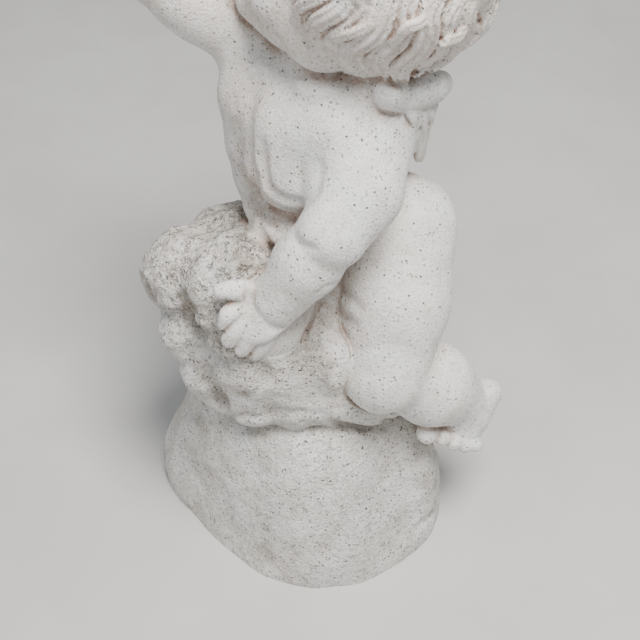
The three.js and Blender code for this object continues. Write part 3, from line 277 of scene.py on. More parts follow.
def side(f): return V(-f[1], f[0], 0)     # the figure's left, for a facing f
ft = unit([-0.76, -0.65, 0])            # chest faces
fp = unit([-0.72, -0.69, 0])            # pelvis faces
PEL = V(56, 48, 368)
HL = V(109, 16, 371); HR = V(22, 78, 360)
KL = V(92, -74, 256); AL = V(187, -40, 168)
KR = V(-26, -60, 312)
SL = V(69.5, -8, 498.5); SR = V(-37, 82, 548)
EL_ = V(37.5, -82, 447.5); WL = V(-19, -84, 361)
ER = V(-127, 84, 614)
NB = V(11, 36, 516)
HC = V(62, 42, 646)
HF = Frame(HC, [-0.93, 0.13, 0.33], [0.3, -0.10, 1], 1.19)
up = unit(NB - PEL); T = Frame(lerp(PEL, NB, 0.5), ft, up)
B = Frame((23, 37, 524), ft, [0, 0, 1])      # shoulder frame for the wings

def torso():
    t = Group()
    PF = Frame(PEL, fp, [0.05, 0, 1])
    egg(t, PEL, (52, 70, 54), PF, 1)
    egg(t, PF.p((-28, 32, -20)), (44, 42, 46), PF, 14)
    egg(t, PF.p((-28, -32, -20)), (44, 42, 46), PF, 14)
    # hip roll, lower belly, belly
    egg(t, V(2, 14, 347), (40, 40, 26), T, 18)
    egg(t, V(3.5, 8, 396), (50, 60, 24), T, 18)
    egg(t, V(16.5, 8, 459), (60, 62, 44), T, 12)
    egg(t, V(15, 18, 499.5), (58, 66, 50), T, 22)
    # right flank, from breast to hip
    fl = [V(-34, 52, 499), V(-30, 52, 449.5), V(-24.5, 52, 413), V(-14, 50, 376.5), V(3.5, 46, 345.5)]
    for i in range(4): cone(t, fl[i], fl[i + 1], (36, 33, 33, 31, 28)[i], (36, 33, 33, 31, 28)[i + 1], 12)
    egg(t, V(-27.5, 50, 519), (34, 40, 32), T, 14)      # right breast
    egg(t, V(35, -14, 518), (36, 44, 36), T, 16)    # left breast
    egg(t, V(54.5, -22, 493.5), (34, 40, 40), T, 18)
    egg(t, V(36, 2, 304.5), (50, 40, 44), WORLD, 22)    # groin and inside of the left thigh
    # back
    egg(t, T.p((-20, 0, 26)), (44, 76, 96), T, 26)
    egg(t, T.p((-38, 36, 58)), (24, 34, 40), T, 18)    # shoulder blades
    egg(t, T.p((-38, -36, 58)), (24, 34, 40), T, 18)
    cone(t, T.p((-76, 0, -60)), T.p((-70, 0, 84)), 9, 9, 22, cut=True)      # spine furrow
    # shoulder girdle
    cone(t, SL + V(-6, 8, 2), NB + V(0, 6, 0), 38, 34, 22)
    cone(t, SR + V(10, -4, -6), NB + V(0, 6, 0), 34, 34, 22)
    cone(t, NB + V(8, 4, -6), HC + V(-12, 0, -50), 40, 40, 12)          # neck
    cone(t, SL + V(4, 20, 10), NB + V(20, 10, 20), 36, 33, 20)      # the slope of the left shoulder
    egg(t, V(38.5, 2, 543), (34, 34, 20), T, 16)      # the fold under the chin
    egg(t, V(71.5, 0, 546.5), (24, 24, 20), T, 12)      # and beside the wing
    return t

def arm_left():
    a = Group()
    MA = V(59, -50, 470)
    cone(a, SL + V(0, 2, -3), MA, 40, 41, 1)
    cone(a, MA, EL_, 41, 33, 8)
    cone(a, EL_ + V(0, 2, 0), lerp(EL_, WL, 0.4), 30, 31.5, 3)
    cone(a, lerp(EL_, WL, 0.4), WL, 31.5, 25.5, 8)
    hand_left(a)
    return a

def hand_left(a):
    pal = V(-34, -88, 352)
    n = unit([-0.2, -0.62, 0.76])
    pf = Frame(pal, unit(V(-55, -98, 338) - WL), n)
    egg(a, pal, (29, 29, 15), pf, 4)
    egg(a, pf.p((-12, -3, -3)), (28, 26, 18), pf, 9)
    kn = [V(-48.5, -91, 364), V(-42, -95, 353.5), V(-34, -97, 343.5), V(-24, -95, 333.5)]
    md = [V(-58.5, -97, 361), V(-51.5, -101, 345), V(-42, -102, 332.5), V(-30, -99, 321.5)]
    tp = [V(-67.5, -98, 351.5), V(-59, -101, 331.5), V(-48, -102, 319), V(-35.5, -99, 307.5)]
    for i in range(4):
        q = [kn[i], md[i], tp[i]]
        tube(a, [lerp(pal, q[0], 0.6)] + q, [11, 10, 9.2, (8.4, 8.4, 7.6, 6.6)[i]], 1.3, 9)
    tube(a, [V(-32, -82, 369.5), V(-45, -86, 380), V(-57, -88, 383), V(-66, -88, 382)], [13.5, 11, 9.2, 7.8], 2.5, 9)

def leg_left():
    l = Group()
    cone(l, HL, lerp(HL, KL, 0.5), 53, 53, 1)
    cone(l, lerp(HL, KL, 0.5), KL + V(-1, 2, 0), 53, 44, 16)
    cone(l, KL + V(14, 8, -8), lerp(KL, AL, 0.5) + V(2, 4, 4), 36, 43, 5)
    cone(l, lerp(KL, AL, 0.5) + V(2, 4, 4), AL, 43, 25, 12)
    foot_left(l)
    return l

def foot_left(l):
    he = V(204, -34, 180); la = V(184, -62, 146); me = V(152, -54, 150)
    cone(l, AL, he, 24, 16, 6)
    cone(l, he, la, 15, 12, 5); cone(l, lerp(AL, he, .3), me, 20, 14, 8); cone(l, la, me, 12, 14, 5)
    cone(l, lerp(he, la, .5), lerp(AL, me, .6), 15, 15, 6)
    egg(l, V(172, -54, 158), (30, 20, 28), WORLD, 10)
    # toes, the big one inward
    for (c, r) in [(V(138.5, -80, 168), 11.5), (V(155, -79, 160.5), 9.4), (V(168.5, -77, 149.5), 9), (V(181, -75, 142), 8.4), (V(192, -74, 141), 7.6)]:
        tube(l, [lerp(me, la, .5) + V(-4, 6, 8), lerp(me, c, .6) + V(0, 0, 6), c], [r * 1.2, r * .95, r], 1.2, 7)

def leg_right():
    r = Group()
    cone(r, HR, lerp(HR, KR, .55), 50, 46, 1)
    cone(r, lerp(HR, KR, .5), KR, 46, 37, 12)
    # shin folded back under the thigh, and the foot below the buttock
    an = V(66, 108, 270); ka = KR + V(-4, 14, -24)
    cone(r, ka, lerp(ka, an, .5), 34, 34, 6)
    cone(r, lerp(ka, an, .5), an, 34, 24, 10)
    he = an + V(16, 16, 14); bl = an + V(22, 22, -50)
    cone(r, an, he, 22, 18, 6); cone(r, he, bl, 17, 13, 8); cone(r, an, bl + V(-14, -8, 4), 20, 13, 8)
    for i in range(5):
        c = lerp(bl + V(-24, 8, -12), bl + V(20, -16, -12), i / 4.0); q = (8.4, 7.2, 6.8, 6.4, 6.0)[i]
        tube(r, [c + V(0, 0, 10), c], [q * 1.1, q], 1.6, 3)
    return r

def arm_right():
    b = Group()
    cone(b, SR, lerp(SR, ER, 0.6), 37, 34, 1)
    cone(b, lerp(SR, ER, 0.5), ER, 34, 28, 12)
    WR = ER + V(14, -16, 96)
    cone(b, ER, lerp(ER, WR, .45), 28, 29, 4); cone(b, lerp(ER, WR, .4), WR, 29, 21, 10)
    # open hand, palm toward the face
    f = Frame(WR, unit([.08, -.10, 1]), unit([0.75, -0.62, 0.1]), 1.0)     # x up the hand, y across, z out of the palm
    egg(b, f.p((26, 0, 2)), (27, 25, 13), f, 6)
    dirs = [(-17, -0.16, 9.0, 31), (-6, -0.05, 9.4, 36), (6, 0.06, 9.2, 34), (17, 0.18, 8.2, 27)]
    for y, sp, r, L in dirs:
        q = [f.p((34, y * .8, 0)), f.p((48, y, 1)), f.p((48 + L * .5, y + sp * L, 5)), f.p((46 + L * .9, y + sp * L * 1.3, 13))]
        tube(b, q, [r, r * .95, r * .9, r * .8], 1.6, 8)
    tube(b, [f.p((10, -16, 4)), f.p((24, -28, 10)), f.p((36, -32, 17)), f.p((44, -31, 22))], [12, 10.5, 9.4, 8], 3, 8)
    return b

def W(*p):           # a point near the left shoulder, in the shoulder frame
    q = V(p) - B.c; return tuple(B.R @ q)
TIPS = [(-34, 81, 22), (-54, 68, 2), (-69, 55, -10), (-79, 43, -10), (-85, 31, 2), (-86, 22, 20)]      # feather tips, torso frame
def wings():
    w = Group()
    for s in (1, -1):
        dz = 0 if s > 0 else 14
        def L(p): return B.p((p[0], p[1] * s, p[2] + dz))
        edge = [L(p) for p in [(-10.5, 84, 30), (-24, 85, 20.5), (-42, 86, 18), (-62.5, 84, 13)]]
        E = catmull(edge, 21)
        for row, (m, drop, r0) in enumerate([(6, 1.0, 12), (5, .6, 11.5)]):
            for j in range(m):
                u = j / (m - 1.0)
                out = unit(B.d((-.5 - .5 * u, s * (.85 - .75 * u), .1)))
                a = E[int(6 + 14 * u)]
                k = u * 5; i0 = min(int(k), 4)
                e = lerp(L(W(*T.p(TIPS[i0]))), L(W(*T.p(TIPS[i0 + 1]))), k - i0)
                e = lerp(a, e, drop) + out * (5 * row)
                mid = lerp(a, e, .5) + out * (6 + 3 * row)
                tube(w, [a, mid, lerp(a, e, .85) + out * 3, e], [10, r0, r0, r0 * .75], .8, 10, flat=out, s=.42)
        # thick leading edge: over the shoulder, out and back, ending in a small curl
        tube(w, edge, [16, 14.5, 16.5, 16], 1.5, 12)
        q = [V(*V(128, 15, 536.5)), V(*V(134.5, 27, 530.5)), V(*V(134, 38, 518.5))]
        tube(w, [L(W(*p)) for p in q], [13.5, 12, 9], 1.2, 6)
    return w

def face():
    h = Group(); F = HF; s = HF.s
    E = lambda c, r, k=8, cut=False: egg(h, F.p(c), V(r) * s, F, k * s, cut)
    E((-4, 0, 15), (71, 68, 70), 1)
    E((20, 0, -26), (54, 56, 56), 14)
    E((40, 0, 28), (30, 48, 38), 12)
    for y in (-1, 1):
        E((44, y * 30, -32), (26, 25, 27), 10)
        E((8, y * 44, -44), (30, 20, 26), 12)
    E((58, 0, -62), (19, 22, 17), 10)
    E((30, 0, -66), (30, 32, 20), 12)
    for y in (-1, 1):
        E((78, y * 26, 2), (14, 17, 10), 10, True)
        ball(h, F.p((60, y * 25, 0)), 15 * s, 1.0)
        shell(h, F.p((60, y * 25, 0)), 16.6 * s, F.d((0.15, 0, 1)), 5.5 * s, 1.2)
        shell(h, F.p((60, y * 25, 0)), 16.2 * s, F.d((0.10, 0, -1)), 7.5 * s, 1.2)
        tube(h, [F.p((69, y * 9, 14)), F.p((71, y * 23, 19)), F.p((62, y * 38, 16))], [4 * s, 5 * s, 4 * s], 11, 6)   # brow
    cone(h, F.p((70, 0, 8)), F.p((79, 0, -16)), 5.5 * s, 8 * s, 9)
    ball(h, F.p((81, 0, -18)), 8.0 * s, 5)
    for y in (-1, 1): E((76, y * 8, -20), (7, 5.5, 5.5), 3)
    tube(h, [F.p((76, 0, -30)), F.p((78, 0, -37))], [3, 3], 4, 3, cut=True)
    # lips
    tube(h, [F.p((66, 16, -44)), F.p((76, 7, -41)), F.p((78, 0, -42.5)), F.p((76, -7, -41)), F.p((66, -16, -44))], [2.5 * s, 4.6 * s, 4.4 * s, 4.6 * s, 2.5 * s], 3, 12)
    tube(h, [F.p((68, 12, -50)), F.p((76, 0, -52)), F.p((68, -12, -50))], [3 * s, 5.6 * s, 3 * s], 4, 8)
    tube(h, [F.p((70, 17, -46)), F.p((79, 7, -46)), F.p((82, 0, -47)), F.p((79, -7, -46)), F.p((70, -17, -46))], [1.2, 1.6, 1.6, 1.6, 1.2], 2, 12, cut=True)
    # ears
    E((-2, -66, -10), (15, 8, 20), 3)
    E((2, -72, -8), (8, 5, 11), 3, True)
    return h

HAIR_C = V(-9, 0, 14); HAIR_R = V(79, 76, 79)
SKIPPED = (23, 31, 32, 33, 34, 40, 41, 42, 49)      # combed locks left out where the large ones lie
PLACED = [      # large locks: (azimuth, elevation, height) along each, half widths, strands
    ([(126, 22, 4), (120, 11, 6), (118, -4, 7), (122, -23, 6), (131, -42, 13)], [8.3, 13.3, 15.8, 15, 10], 4),
    ([(141, 19, 2), (134, 9, 4), (131, -6, 4), (146, -31, 5), (141, -35, 11)], [7.5, 12.5, 14.2, 12.5, 8.3], 4),
    ([(149, 16, 4), (145, 5, 5), (146, -10, 6), (151, -25, 9), (147, -30, 12)], [7.5, 11.7, 12.5, 11.7, 7.5], 3),
    ([(166, 12, 2), (167, -3, 5), (161, -12, 9), (156, -19, 10)], [7.5, 12.5, 12.5, 9.2], 3),
    ([(174, 9, 5), (168, 0, 9), (164, -7, 11), (159, -15, 12)], [7.5, 10.8, 10.8, 7.5], 3),
    ([(112, 19, 2), (107, 6, 3), (106, -9, 3), (112, -31, 3), (123, -47, 10)], [8.3, 13.3, 14.2, 13.3, 9.2], 3),
    ([(102, 17, 4), (96, 4, 6), (93, -10, 7), (94, -28, 7), (106, -52, 8), (116, -50, 8)], [7.5, 11.7, 13.3, 12.5, 10, 6.7], 3),
    ([(92, 13, 2), (86, -0, 4), (83, -16, 4), (86, -38, 4), (97, -54, 9)], [6.7, 10.8, 11.7, 10.8, 7.5], 3),
    ([(81, 11, 4), (77, -1, 5), (74, -14, 6), (74, -31, 5), (80, -55, 6)], [5.8, 10, 10, 9.2, 6.7], 3),
    ([(72, 7, 2), (66, -5, 3), (62, -18, 3), (59, -37, 3), (62, -52, 4)], [5, 8.3, 9.2, 8.3, 5.8], 3),
    ([(73, -29, 3), (65, -53, 6), (73, -54, 12), (85, -54, 11)], [5, 7.5, 8.3, 5.8], 3),
    ([(122, 10, 8), (114, 5, 12), (107, 1, 13), (103, -9, 9)], [4.2, 6.7, 6.7, 4.2], 2),
    ([(145, 1, 8), (137, -5, 11), (128, -7, 12), (136, -25, 8)], [4.2, 6.7, 6.7, 4.2], 2),
    ([(91, 3, 8), (90, -3, 11), (85, -12, 12), (85, -24, 8)], [3.3, 5.8, 5.8, 3.3], 2),
]
def hair():
    g = Group(); F = HF; s = F.s
    c0 = HAIR_C; rad = HAIR_R
    # the cap of hair the locks lie on, cut clear of the face
    egg(g, F.p(c0 + V(-3, 0, 3)), (rad - V(3, 1, 3)) * s, F, 1)
    egg(g, F.p(c0 + V(-3, 5, -3)), (rad - V(2, 2, 1)) * s, F, 2)
    egg(g, F.p((66, 0, -28)), V(54, 60, 66) * s, F, 8 * s, True)
    egg(g, F.p((-2, 48, -6)), V(34, 23, 46) * s, F, 8 * s)       # the mass of hair over the near ear
    def on(az, el, h):
        d = V(cos(el) * cos(az), cos(el) * sin(az), sin(el))
        return F.p(c0 + d * rad + d * h), F.d(d)
    rows = [(82, 5, 16), (64, 9, 17), (46, 12, 18), (28, 14, 18), (10, 15, 18), (-8, 15, 18), (-25, 14, 17), (-41, 12, 16)]
    n = 0
    for ri, (el, m, r) in enumerate(rows):
        for i in range(m):
            az = 2 * pi * (i + 0.5 * (ri % 2) + 0.12 * sin(3.1 * i + ri)) / m
            a = (az + pi) % (2 * pi) - pi
            lim = 0.5 if el > 55 else 1.0 if el > 35 else 1.12 if el > 15 else 1.28 if el > -15 else 1.5
            if el < 75 and abs(a) < lim: continue
            n += 1
            sw = sin(2.0 * az + 0.9 * ri)
            L = 0.64 + 0.08 * sin(2.3 * n)
            pts, nor = [], []
            for k in range(6):
                t = k / 5.0
                e = radians(el) - L * (t - .2); az2 = az + 0.16 * sin(4.6 * t + 1.7 * sw + 1.1 * ri) / max(cos(radians(el)), .45)
                p, d = on(az2, e, -2.5 + 5.5 * sin(pi * min(t * 1.04, 1)) + 1.2 * sin(1.7 * n))
                pts.append(p); nor.append(d)
            if n in SKIPPED: continue
            lock(g, pts, [r * .55 * s, r * .86 * s, r * .95 * s, r * .88 * s, r * .6 * s], nor, 1.8, 11, .6, 4, .17, n * 1.3)
    # locks swept off the forehead
    for i in range(9):
        a = -1.02 + 2.04 * i / 8; sg = -1 if i % 2 else 1
        pts, nor = [], []
        for k in range(5):
            t = k / 4.0
            p, d = on(a * (1.05 - .05 * t) + sg * .13 * sin(3.8 * t), radians(70 - 33 * t + 2.5 * sin(2 * i)), -2 + 6 * sin(pi * t)); pts.append(p); nor.append(d)
        lock(g, pts, [8 * s, 12 * s, 12 * s, 7 * s], nor, 1.6, 9, .62, 3, .18, i)
    for q, w, st in PLACED:
        pts, nor = [], []
        for j, (az, el, h) in enumerate(catmull(q, 2 * len(q) + 1)):      # waved along its length
            wave = 3.0 * sin(radians(8.5 * el + 1.3 * q[0][0])) if j else 0
            p, d = on(radians(az + wave / max(cos(radians(el)), .5)), radians(el), h); pts.append(p); nor.append(d)
        lock(g, pts, w, nor, 1.6, 14, .66, st, .34, q[0][0])
    return g

def rock():
    k = Group()
    # lower boulder
    egg(k, V(4, 2, 4), (152, 150, 166), WORLD, 1)
    egg(k, V(20, -30, 4), (140, 132, 120), WORLD, 20)
    egg(k, V(-4, -24, 104), (118, 104, 104), WORLD, 56)      # shoulder under the ledge
    egg(k, V(-98, 8, 20), (62, 76, 56), WORLD, 24)
    egg(k, V(96, -50, 30), (66, 76, 130), WORLD, 16)
    egg(k, V(70, 70, 60), (90, 80, 120), WORLD, 24)
    egg(k, V(-46, 72, 60), (78, 76, 106), WORLD, 24)
    plane(k, V(cos(radians(-136)), sin(radians(-136)), .22), 141, 44)
    # valley down the right of the front
    tube(k, [V(108, -92, 184), V(134, -122, 118), V(150, -150, 60), V(156, -160, 10)], [14, 30, 34, 22], 30, 8, cut=True)
    tube(k, [V(128.5, -92, 163.5), V(125.5, -113, 129.5), V(130, -127.5, 95.5), V(139.5, -137.5, 64)], [36, 40], 34, 6, cut=True)
    # upper rock, in lobes
    u = Group()
    egg(u, V(10, 20, 250), (112, 98, 86), WORLD, 1)
    for c, r, kk in [
        ((-104, -2, 324), (48, 48, 48), 14),
        ((-60, 36, 316), (58, 56, 50), 14),
        ((-98, -30, 274), (40, 38, 36), 10),
        ((-88, -42, 232), (32, 32, 32), 8),
        ((-66, -54, 204), (26, 26, 24), 7),
        ((-74, -34, 192), (30, 30, 22), 7),
        ((-40, -74, 214), (32, 24, 36), 8),
        ((0, -66, 222), (40, 34, 52), 10),
        ((-34, -72, 268), (48, 34, 46), 14),
        ((-54, -58, 316), (44, 38, 42), 12),       # under the hand
        ((-66, -40, 352), (40, 40, 26), 12),       # beside the thumb
        ((-48, -30, 366), (36, 34, 26), 14),       # against the belly
        ((38, -62, 214), (40, 32, 44), 9),
        ((78, -54, 206), (42, 36, 36), 9),
        ((120, -30, 190), (34, 40, 30), 10),
        ((30, -70, 268), (40, 30, 36), 12),
        ((-92, 48, 262), (44, 46, 52), 14),
        ((-64, 84, 226), (46, 40, 54), 12),
        ((0, 104, 236), (52, 38, 56), 14),
        ((62, 100, 220), (48, 38, 56), 12),
        ((112, 52, 226), (44, 48, 52), 14),
    ]: egg(u, V(c), r, WORLD, kk)
    return k, u

CREASES = [      # along each crease, radius (negative: a swelling), blend
    ([(-58.5, 27.5, 346.5), (-45.5, -32.5, 376), (-40, -41, 369.5)], -22, 9),
    ([(-36, 1.5, 413), (-26, -19.5, 413.5), (-15, -32, 413.5), (-7, -38.5, 414.5)], 5, 5),
    ([(-34, -26, 405.5), (-29.5, -33.5, 399.5), (-23.5, -37.5, 392.5), (-16.5, -32, 386)], 5, 5),
    ([(-38, 13.5, 540.5), (-43, -3.5, 511.5), (-44, -11, 476.5), (-38.5, -26, 458), (-36.5, 3.5, 414)], 8, 9),
    ([(-28, -28.5, 501), (-27.5, -31.5, 483), (-25, -38.5, 469), (-18, -44.5, 460.5), (-6, -51, 457), (6.5, -57.5, 457)], 6, 6),
    ([(7.5, -68, 469), (17, -71, 484), (21, -65, 493.5), (22, -61, 503)], 6, 7),
    ([(25, -116, 403), (34, -112.5, 409.5), (44, -101.5, 402.5)], 3.5, 2.5),
    ([(-38.5, -93, 390), (-39, -98.5, 375), (-30, -109, 366), (-20.5, -111.5, 357.5), (-6, -107, 349.5)], 4.5, 4),
    ([(1, -94, 450), (10, -104.5, 451), (19, -113, 453.5)], 5, 4),
    ([(-6.5, -1, 550.5), (0, -19, 548.5), (23, -36, 553.5), (48, -34.5, 557), (62.5, -27, 560)], 6, 7),
    ([(149.5, -35, 261), (150, -53, 264.5), (151, -64, 265)], 4, 3),
    ([(43.5, -34, 331), (52.5, -54.5, 339), (61, -67.5, 339)], 5, 6),
    ([(36.5, -41, 319.5), (44.5, -53, 314), (56, -72, 321)], 5, 6),
    ([(-109, 12, 379.5), (-91.5, 19, 374), (-80, 22, 372.5), (-54.5, 1.5, 393), (-52, -8, 404.5)], 12, 12),
    ([(-68, -38, 399.5), (-76, -49.5, 388), (-77.5, -68, 378), (-79.5, -80, 366.5), (-81, -86, 350.5), (-82.5, -104.5, 358)], 12, 12),
    ([(-74, -61.5, 372.5), (-55.5, -66.5, 379), (-37, -65, 382), (-29.5, -77, 404.5)], 6, 6),
    ([(-140.5, -36.5, 295), (-120, -53, 305), (-104, -62.5, 303.5), (-89, -92.5, 314.5)], 11, 11),
    ([(-122.5, -68, 264.5), (-104, -73.5, 276), (-89.5, -74, 274), (-74, -97, 290)], 10, 10),
    ([(-87.5, -80, 239), (-78, -77.5, 230.5), (-77.5, -78.5, 219), (-74, -88.5, 209.5)], 9, 8),
    ([(36, -97.5, 206), (62.5, -76.5, 177), (94.5, -61.5, 160.5)], 6, 5),
    ([(-68, -87.5, 205.5), (-51, -99, 212), (-30.5, -100, 214), (-5.5, -102.5, 223), (8.5, -102, 223), (26.5, -98.5, 217)], 6, 5),
    ([(96, -62, 156.5), (96, -87, 194), (99.5, -106.5, 225.5), (108, -99, 217.5)], 6, 5),
    ([(-11, -103, 283)], 5, 2),
    ([(136.5, -107, 29), (144, -99.5, 30.5), (157.5, -90, 28)], 7, 5),
    ([(93, -29, 569.5), (97, -27, 566), (101, -27.5, 561.5)], 4, 4),
    ([(124, 12, 556.5), (130.5, 5, 552.5), (134, -0.5, 546)], 3, 3),
    ([(-29.5, -111.5, 290.5), (-19.5, -112.5, 259), (-20.5, -107, 227)], 11, 12),
    ([(22.5, -92.5, 306.5), (16, -105.5, 283.5), (23.5, -105, 241.5)], 12, 12),
]

class Model:
    def __init__(self, detail=1.0):
        self.G = dict(torso=torso(), armL=arm_left(), legL=leg_left(), legR=leg_right(), armR=arm_right(), wings=wings(), face=face(), hair=hair())
        self.G["base"], self.G["upper"] = rock()
        self.detail = detail; self.cuts = None
        cuts = Group()
        for c, r, k in CREASES:
            if len(c) > 1: tube(cuts, [V(a) for a in c], [abs(r)], k, 3 * len(c), cut=r > 0)
            else: ball(cuts, V(c[0]), abs(r), k, cut=r > 0)
        self.cuts = cuts
    def __call__(self, blo, bhi, X, Y, Z):
        run = lambda n: run_group(self.G[n].ops, blo, bhi, X, Y, Z)
        def soft(c, r, kmax, k0=2.0):
            d2 = (X - F32(c[0])) ** 2 + (Y - F32(c[1])) ** 2 + (Z - F32(c[2])) ** 2
            return F32(k0) + F32(kmax - k0) * np.exp(-d2 / F32(r * r))
        D = run("torso")
        D = smin(D, run("armL"), soft(SL + V(-10, -20, -14), 52, 40))
        D = smin(D, run("armR"), soft(SR, 50, 26))
        D = smin(D, run("legL"), soft(HL + V(10, 10, 20), 60, 24))
        D = smin(D, run("legR"), soft(HR, 60, 24, 3))
        D = smin(D, run("wings"), F32(4))
        H = smin(run("face"), run("hair"), F32(2))
        D = smin(D, H, F32(4))
        A = run("base"); U = run("upper")
        D = smin(D, smin(A, U, F32(3)), F32(2.5))
        if self.cuts is not None:
            for lo, hi, fn, k, cut in self.cuts.ops:
                m = np.nonzero((blo[:, 0] <= hi[0]) & (bhi[:, 0] >= lo[0]) & (blo[:, 1] <= hi[1]) & (bhi[:, 1] >= lo[1]) & (blo[:, 2] <= hi[2]) & (bhi[:, 2] >= lo[2]))[0]
                if len(m): D[m] = smax(D[m], -fn(X[m], Y[m], Z[m]), F32(k)) if cut else smin(D[m], fn(X[m], Y[m], Z[m]), F32(k))
        return D.astype(F32)

# ---------------------------------------------------------------- the casting's mesh
GRID = 1.75           # mm between the samples of the sculpted field
MOST = 197000         # triangles kept
SHIFT = (29.8, 1.5)   # mm from the sculpting axes to the middle of the footprint


class Grain:
    """Smooth value noise on a seeded lattice, -1 to 1."""
    def __init__(self, seed, n=61):
        self.t = np.random.default_rng(seed).random((n, n, n)); self.n = n
    def __call__(self, p, size):
        q = p / size; i = np.floor(q).astype(int); f = q - i; f = f * f * (3 - 2 * f); n = self.n
        out = np.zeros(len(p))
        for a in (0, 1):
            for b in (0, 1):
                for c in (0, 1):
                    w = (f[:, 0] if a else 1 - f[:, 0]) * (f[:, 1] if b else 1 - f[:, 1]) * (f[:, 2] if c else 1 - f[:, 2])
                    out += w * self.t[(i[:, 0] + a) % n, (i[:, 1] + b) % n, (i[:, 2] + c) % n]
        return out * 2 - 1


def at_points(fn, p, reach):
    """A field's values at points, in slices over a few threads."""
    def part(q):
        q = q.astype(F32)
        return fn(q - reach, q + reach, q[:, :1].copy(), q[:, 1:2].copy(), q[:, 2:3].copy())[:, 0]
    with ThreadPoolExecutor(4) as ex: return np.concatenate(list(ex.map(part, np.array_split(p, max(1, len(p) // 4000)))))


def step(x, a, b):
    t = np.clip((x - a) / (b - a), 0, 1); return t * t * (3 - 2 * t)


def vertex_normals(v, q):
    n = np.cross(v[q[:, 2]] - v[q[:, 0]], v[q[:, 3]] - v[q[:, 1]]); out = np.zeros_like(v)
    for i in range(4): np.add.at(out, q[:, i], n)
    return out / np.maximum(np.linalg.norm(out, axis=1, keepdims=True), 1e-9)


def rock_share(model, p):
    """1 on the rock and the boulder, 0 on the figure, easing over a few millimetres between them."""
    run = lambda names: at_points(lambda lo, hi, X, Y, Z: np.minimum.reduce([run_group(model.G[n].ops, lo, hi, X, Y, Z) for n in names]), p, 8.0)
    return step(run(["torso", "armL", "legL", "legR", "armR", "wings"]) - run(["base", "upper"]), -1.0, 4.0) * step(p[:, 2], 470, 440)


def rough_share(p):
    """How weathered the rock is: most on its upper part beside the hand."""
    return step(p[:, 0], 20, -40) * step(p[:, 2], 250, 330)


def stain(p):
    """Where warm dirt has gathered: the flank under the belly, the lap, and over the head."""
    out = .45 * step(p[:, 2], 560, 600)
    for c, r, w in (((-26, 0, 440), 46, .9), ((-12, -36, 414), 34, .8), ((-34, 20, 510), 44, .5), ((40, -48, 325), 44, .6), ((-95, 20, 350), 60, .3)):
        out = np.maximum(out, w * np.exp(-((p - c) ** 2).sum(1) / r ** 2))
    return out


def weather(p, rock):
    """Height of the worn surface over the sculpted one, mm."""
    g = [Grain(11 + i) for i in range(6)]
    base = 2.2 * g[0](p, 37) + 1.1 * g[1](p, 17) + .55 * g[2](p, 8)
    rough = 1.2 * g[3](p, 11) + .95 * g[4](p, 5.5)
    lobed = 1.7 * (1 - 2.6 * np.abs(g[2](p * (1, 1, .7), 25))) + .8 * g[4](p, 8)
    skin = .35 * g[1](p, 24) + .14 * g[5](p, 7)
    edge = step(rock, .3, 1.0)
    return rock * edge * (base + lobed * step(p[:, 2], 186, 216) + rough * rough_share(p)) + (1 - rock) * skin


def build():
    model = Model()
    v, q = mesh_of(model, (-170, -172, -10), (232, 172, 806), GRID, band=16 + 2.2 * GRID)
    v, q, _ = biggest(v, q)
    v = v + vertex_normals(v, q) * weather(v, rock_share(model, v))[:, None]
    me = bpy.data.meshes.new("statue")
    me.from_pydata(((v - (SHIFT[0], SHIFT[1], 0)) / 1000.0).tolist(), [], q.tolist())
    o = bpy.data.objects.new("cherub_statue_stone", me); bpy.context.scene.collection.objects.link(o)
    dec = o.modifiers.new("fewer", "DECIMATE"); dec.ratio = MOST / (2.0 * len(q))
    dg = bpy.context.evaluated_depsgraph_get()
    new = bpy.data.meshes.new_from_object(o.evaluated_get(dg)); o.modifiers.clear(); o.data = new; bpy.data.meshes.remove(me)
    # the flat underside
    bm = bmesh.new(); bm.from_mesh(new)
    bmesh.ops.bisect_plane(bm, geom=bm.verts[:] + bm.edges[:] + bm.faces[:], dist=1e-6, plane_co=(0, 0, 0), plane_no=(0, 0, -1), clear_outer=True)
    for x in bm.verts:
        if abs(x.co.z) < 5e-6: x.co.z = 0.0
    rim = [e for e in bm.edges if e.is_boundary]
    flat = bmesh.ops.edgeloop_fill(bm, edges=rim)["faces"]
    for f in bm.faces: f.smooth = True
    for f in flat: f.smooth = False
    for e in rim: e.smooth = False
    flat = bmesh.ops.triangulate(bm, faces=flat)["faces"]
    bmesh.ops.recalc_face_normals(bm, faces=bm.faces[:])
    bm.to_mesh(new); bm.free(); new.name = "statue"
    # what the stone's finish follows: rock or figure, how deep in a hollow (the occlusion depth that paints shade, with
    # dirt, into the creases), how weathered
    n = len(new.vertices); co = np.empty(n * 3); no = np.empty(n * 3)
    new.vertices.foreach_get("co", co); new.vertices.foreach_get("normal", no)
    p = co.reshape(-1, 3) * 1000.0 + (SHIFT[0], SHIFT[1], 0); no = no.reshape(-1, 3)
    # how shut in each point is, sampled along its normal: an occlusion depth, used to paint shade, with dirt, into
    # hollows and creases
    open_ = np.ones(n)
    for d, w in ((3.0, .42), (8.0, .40), (20.0, .18)):
        s = at_points(model, p + no * d, 22.0); open_ -= w * np.clip(1 - s / d, 0, 1)
    rock = rock_share(model, p)
    for name, val in (("rock", rock), ("hollow_shade_and_dirt", np.clip(1 - open_, 0, 1)), ("worn", rough_share(p) * rock), ("stain", stain(p))):
        a = new.attributes.new(name, "FLOAT", "POINT"); a.data.foreach_set("value", val.astype(F32))
    return o


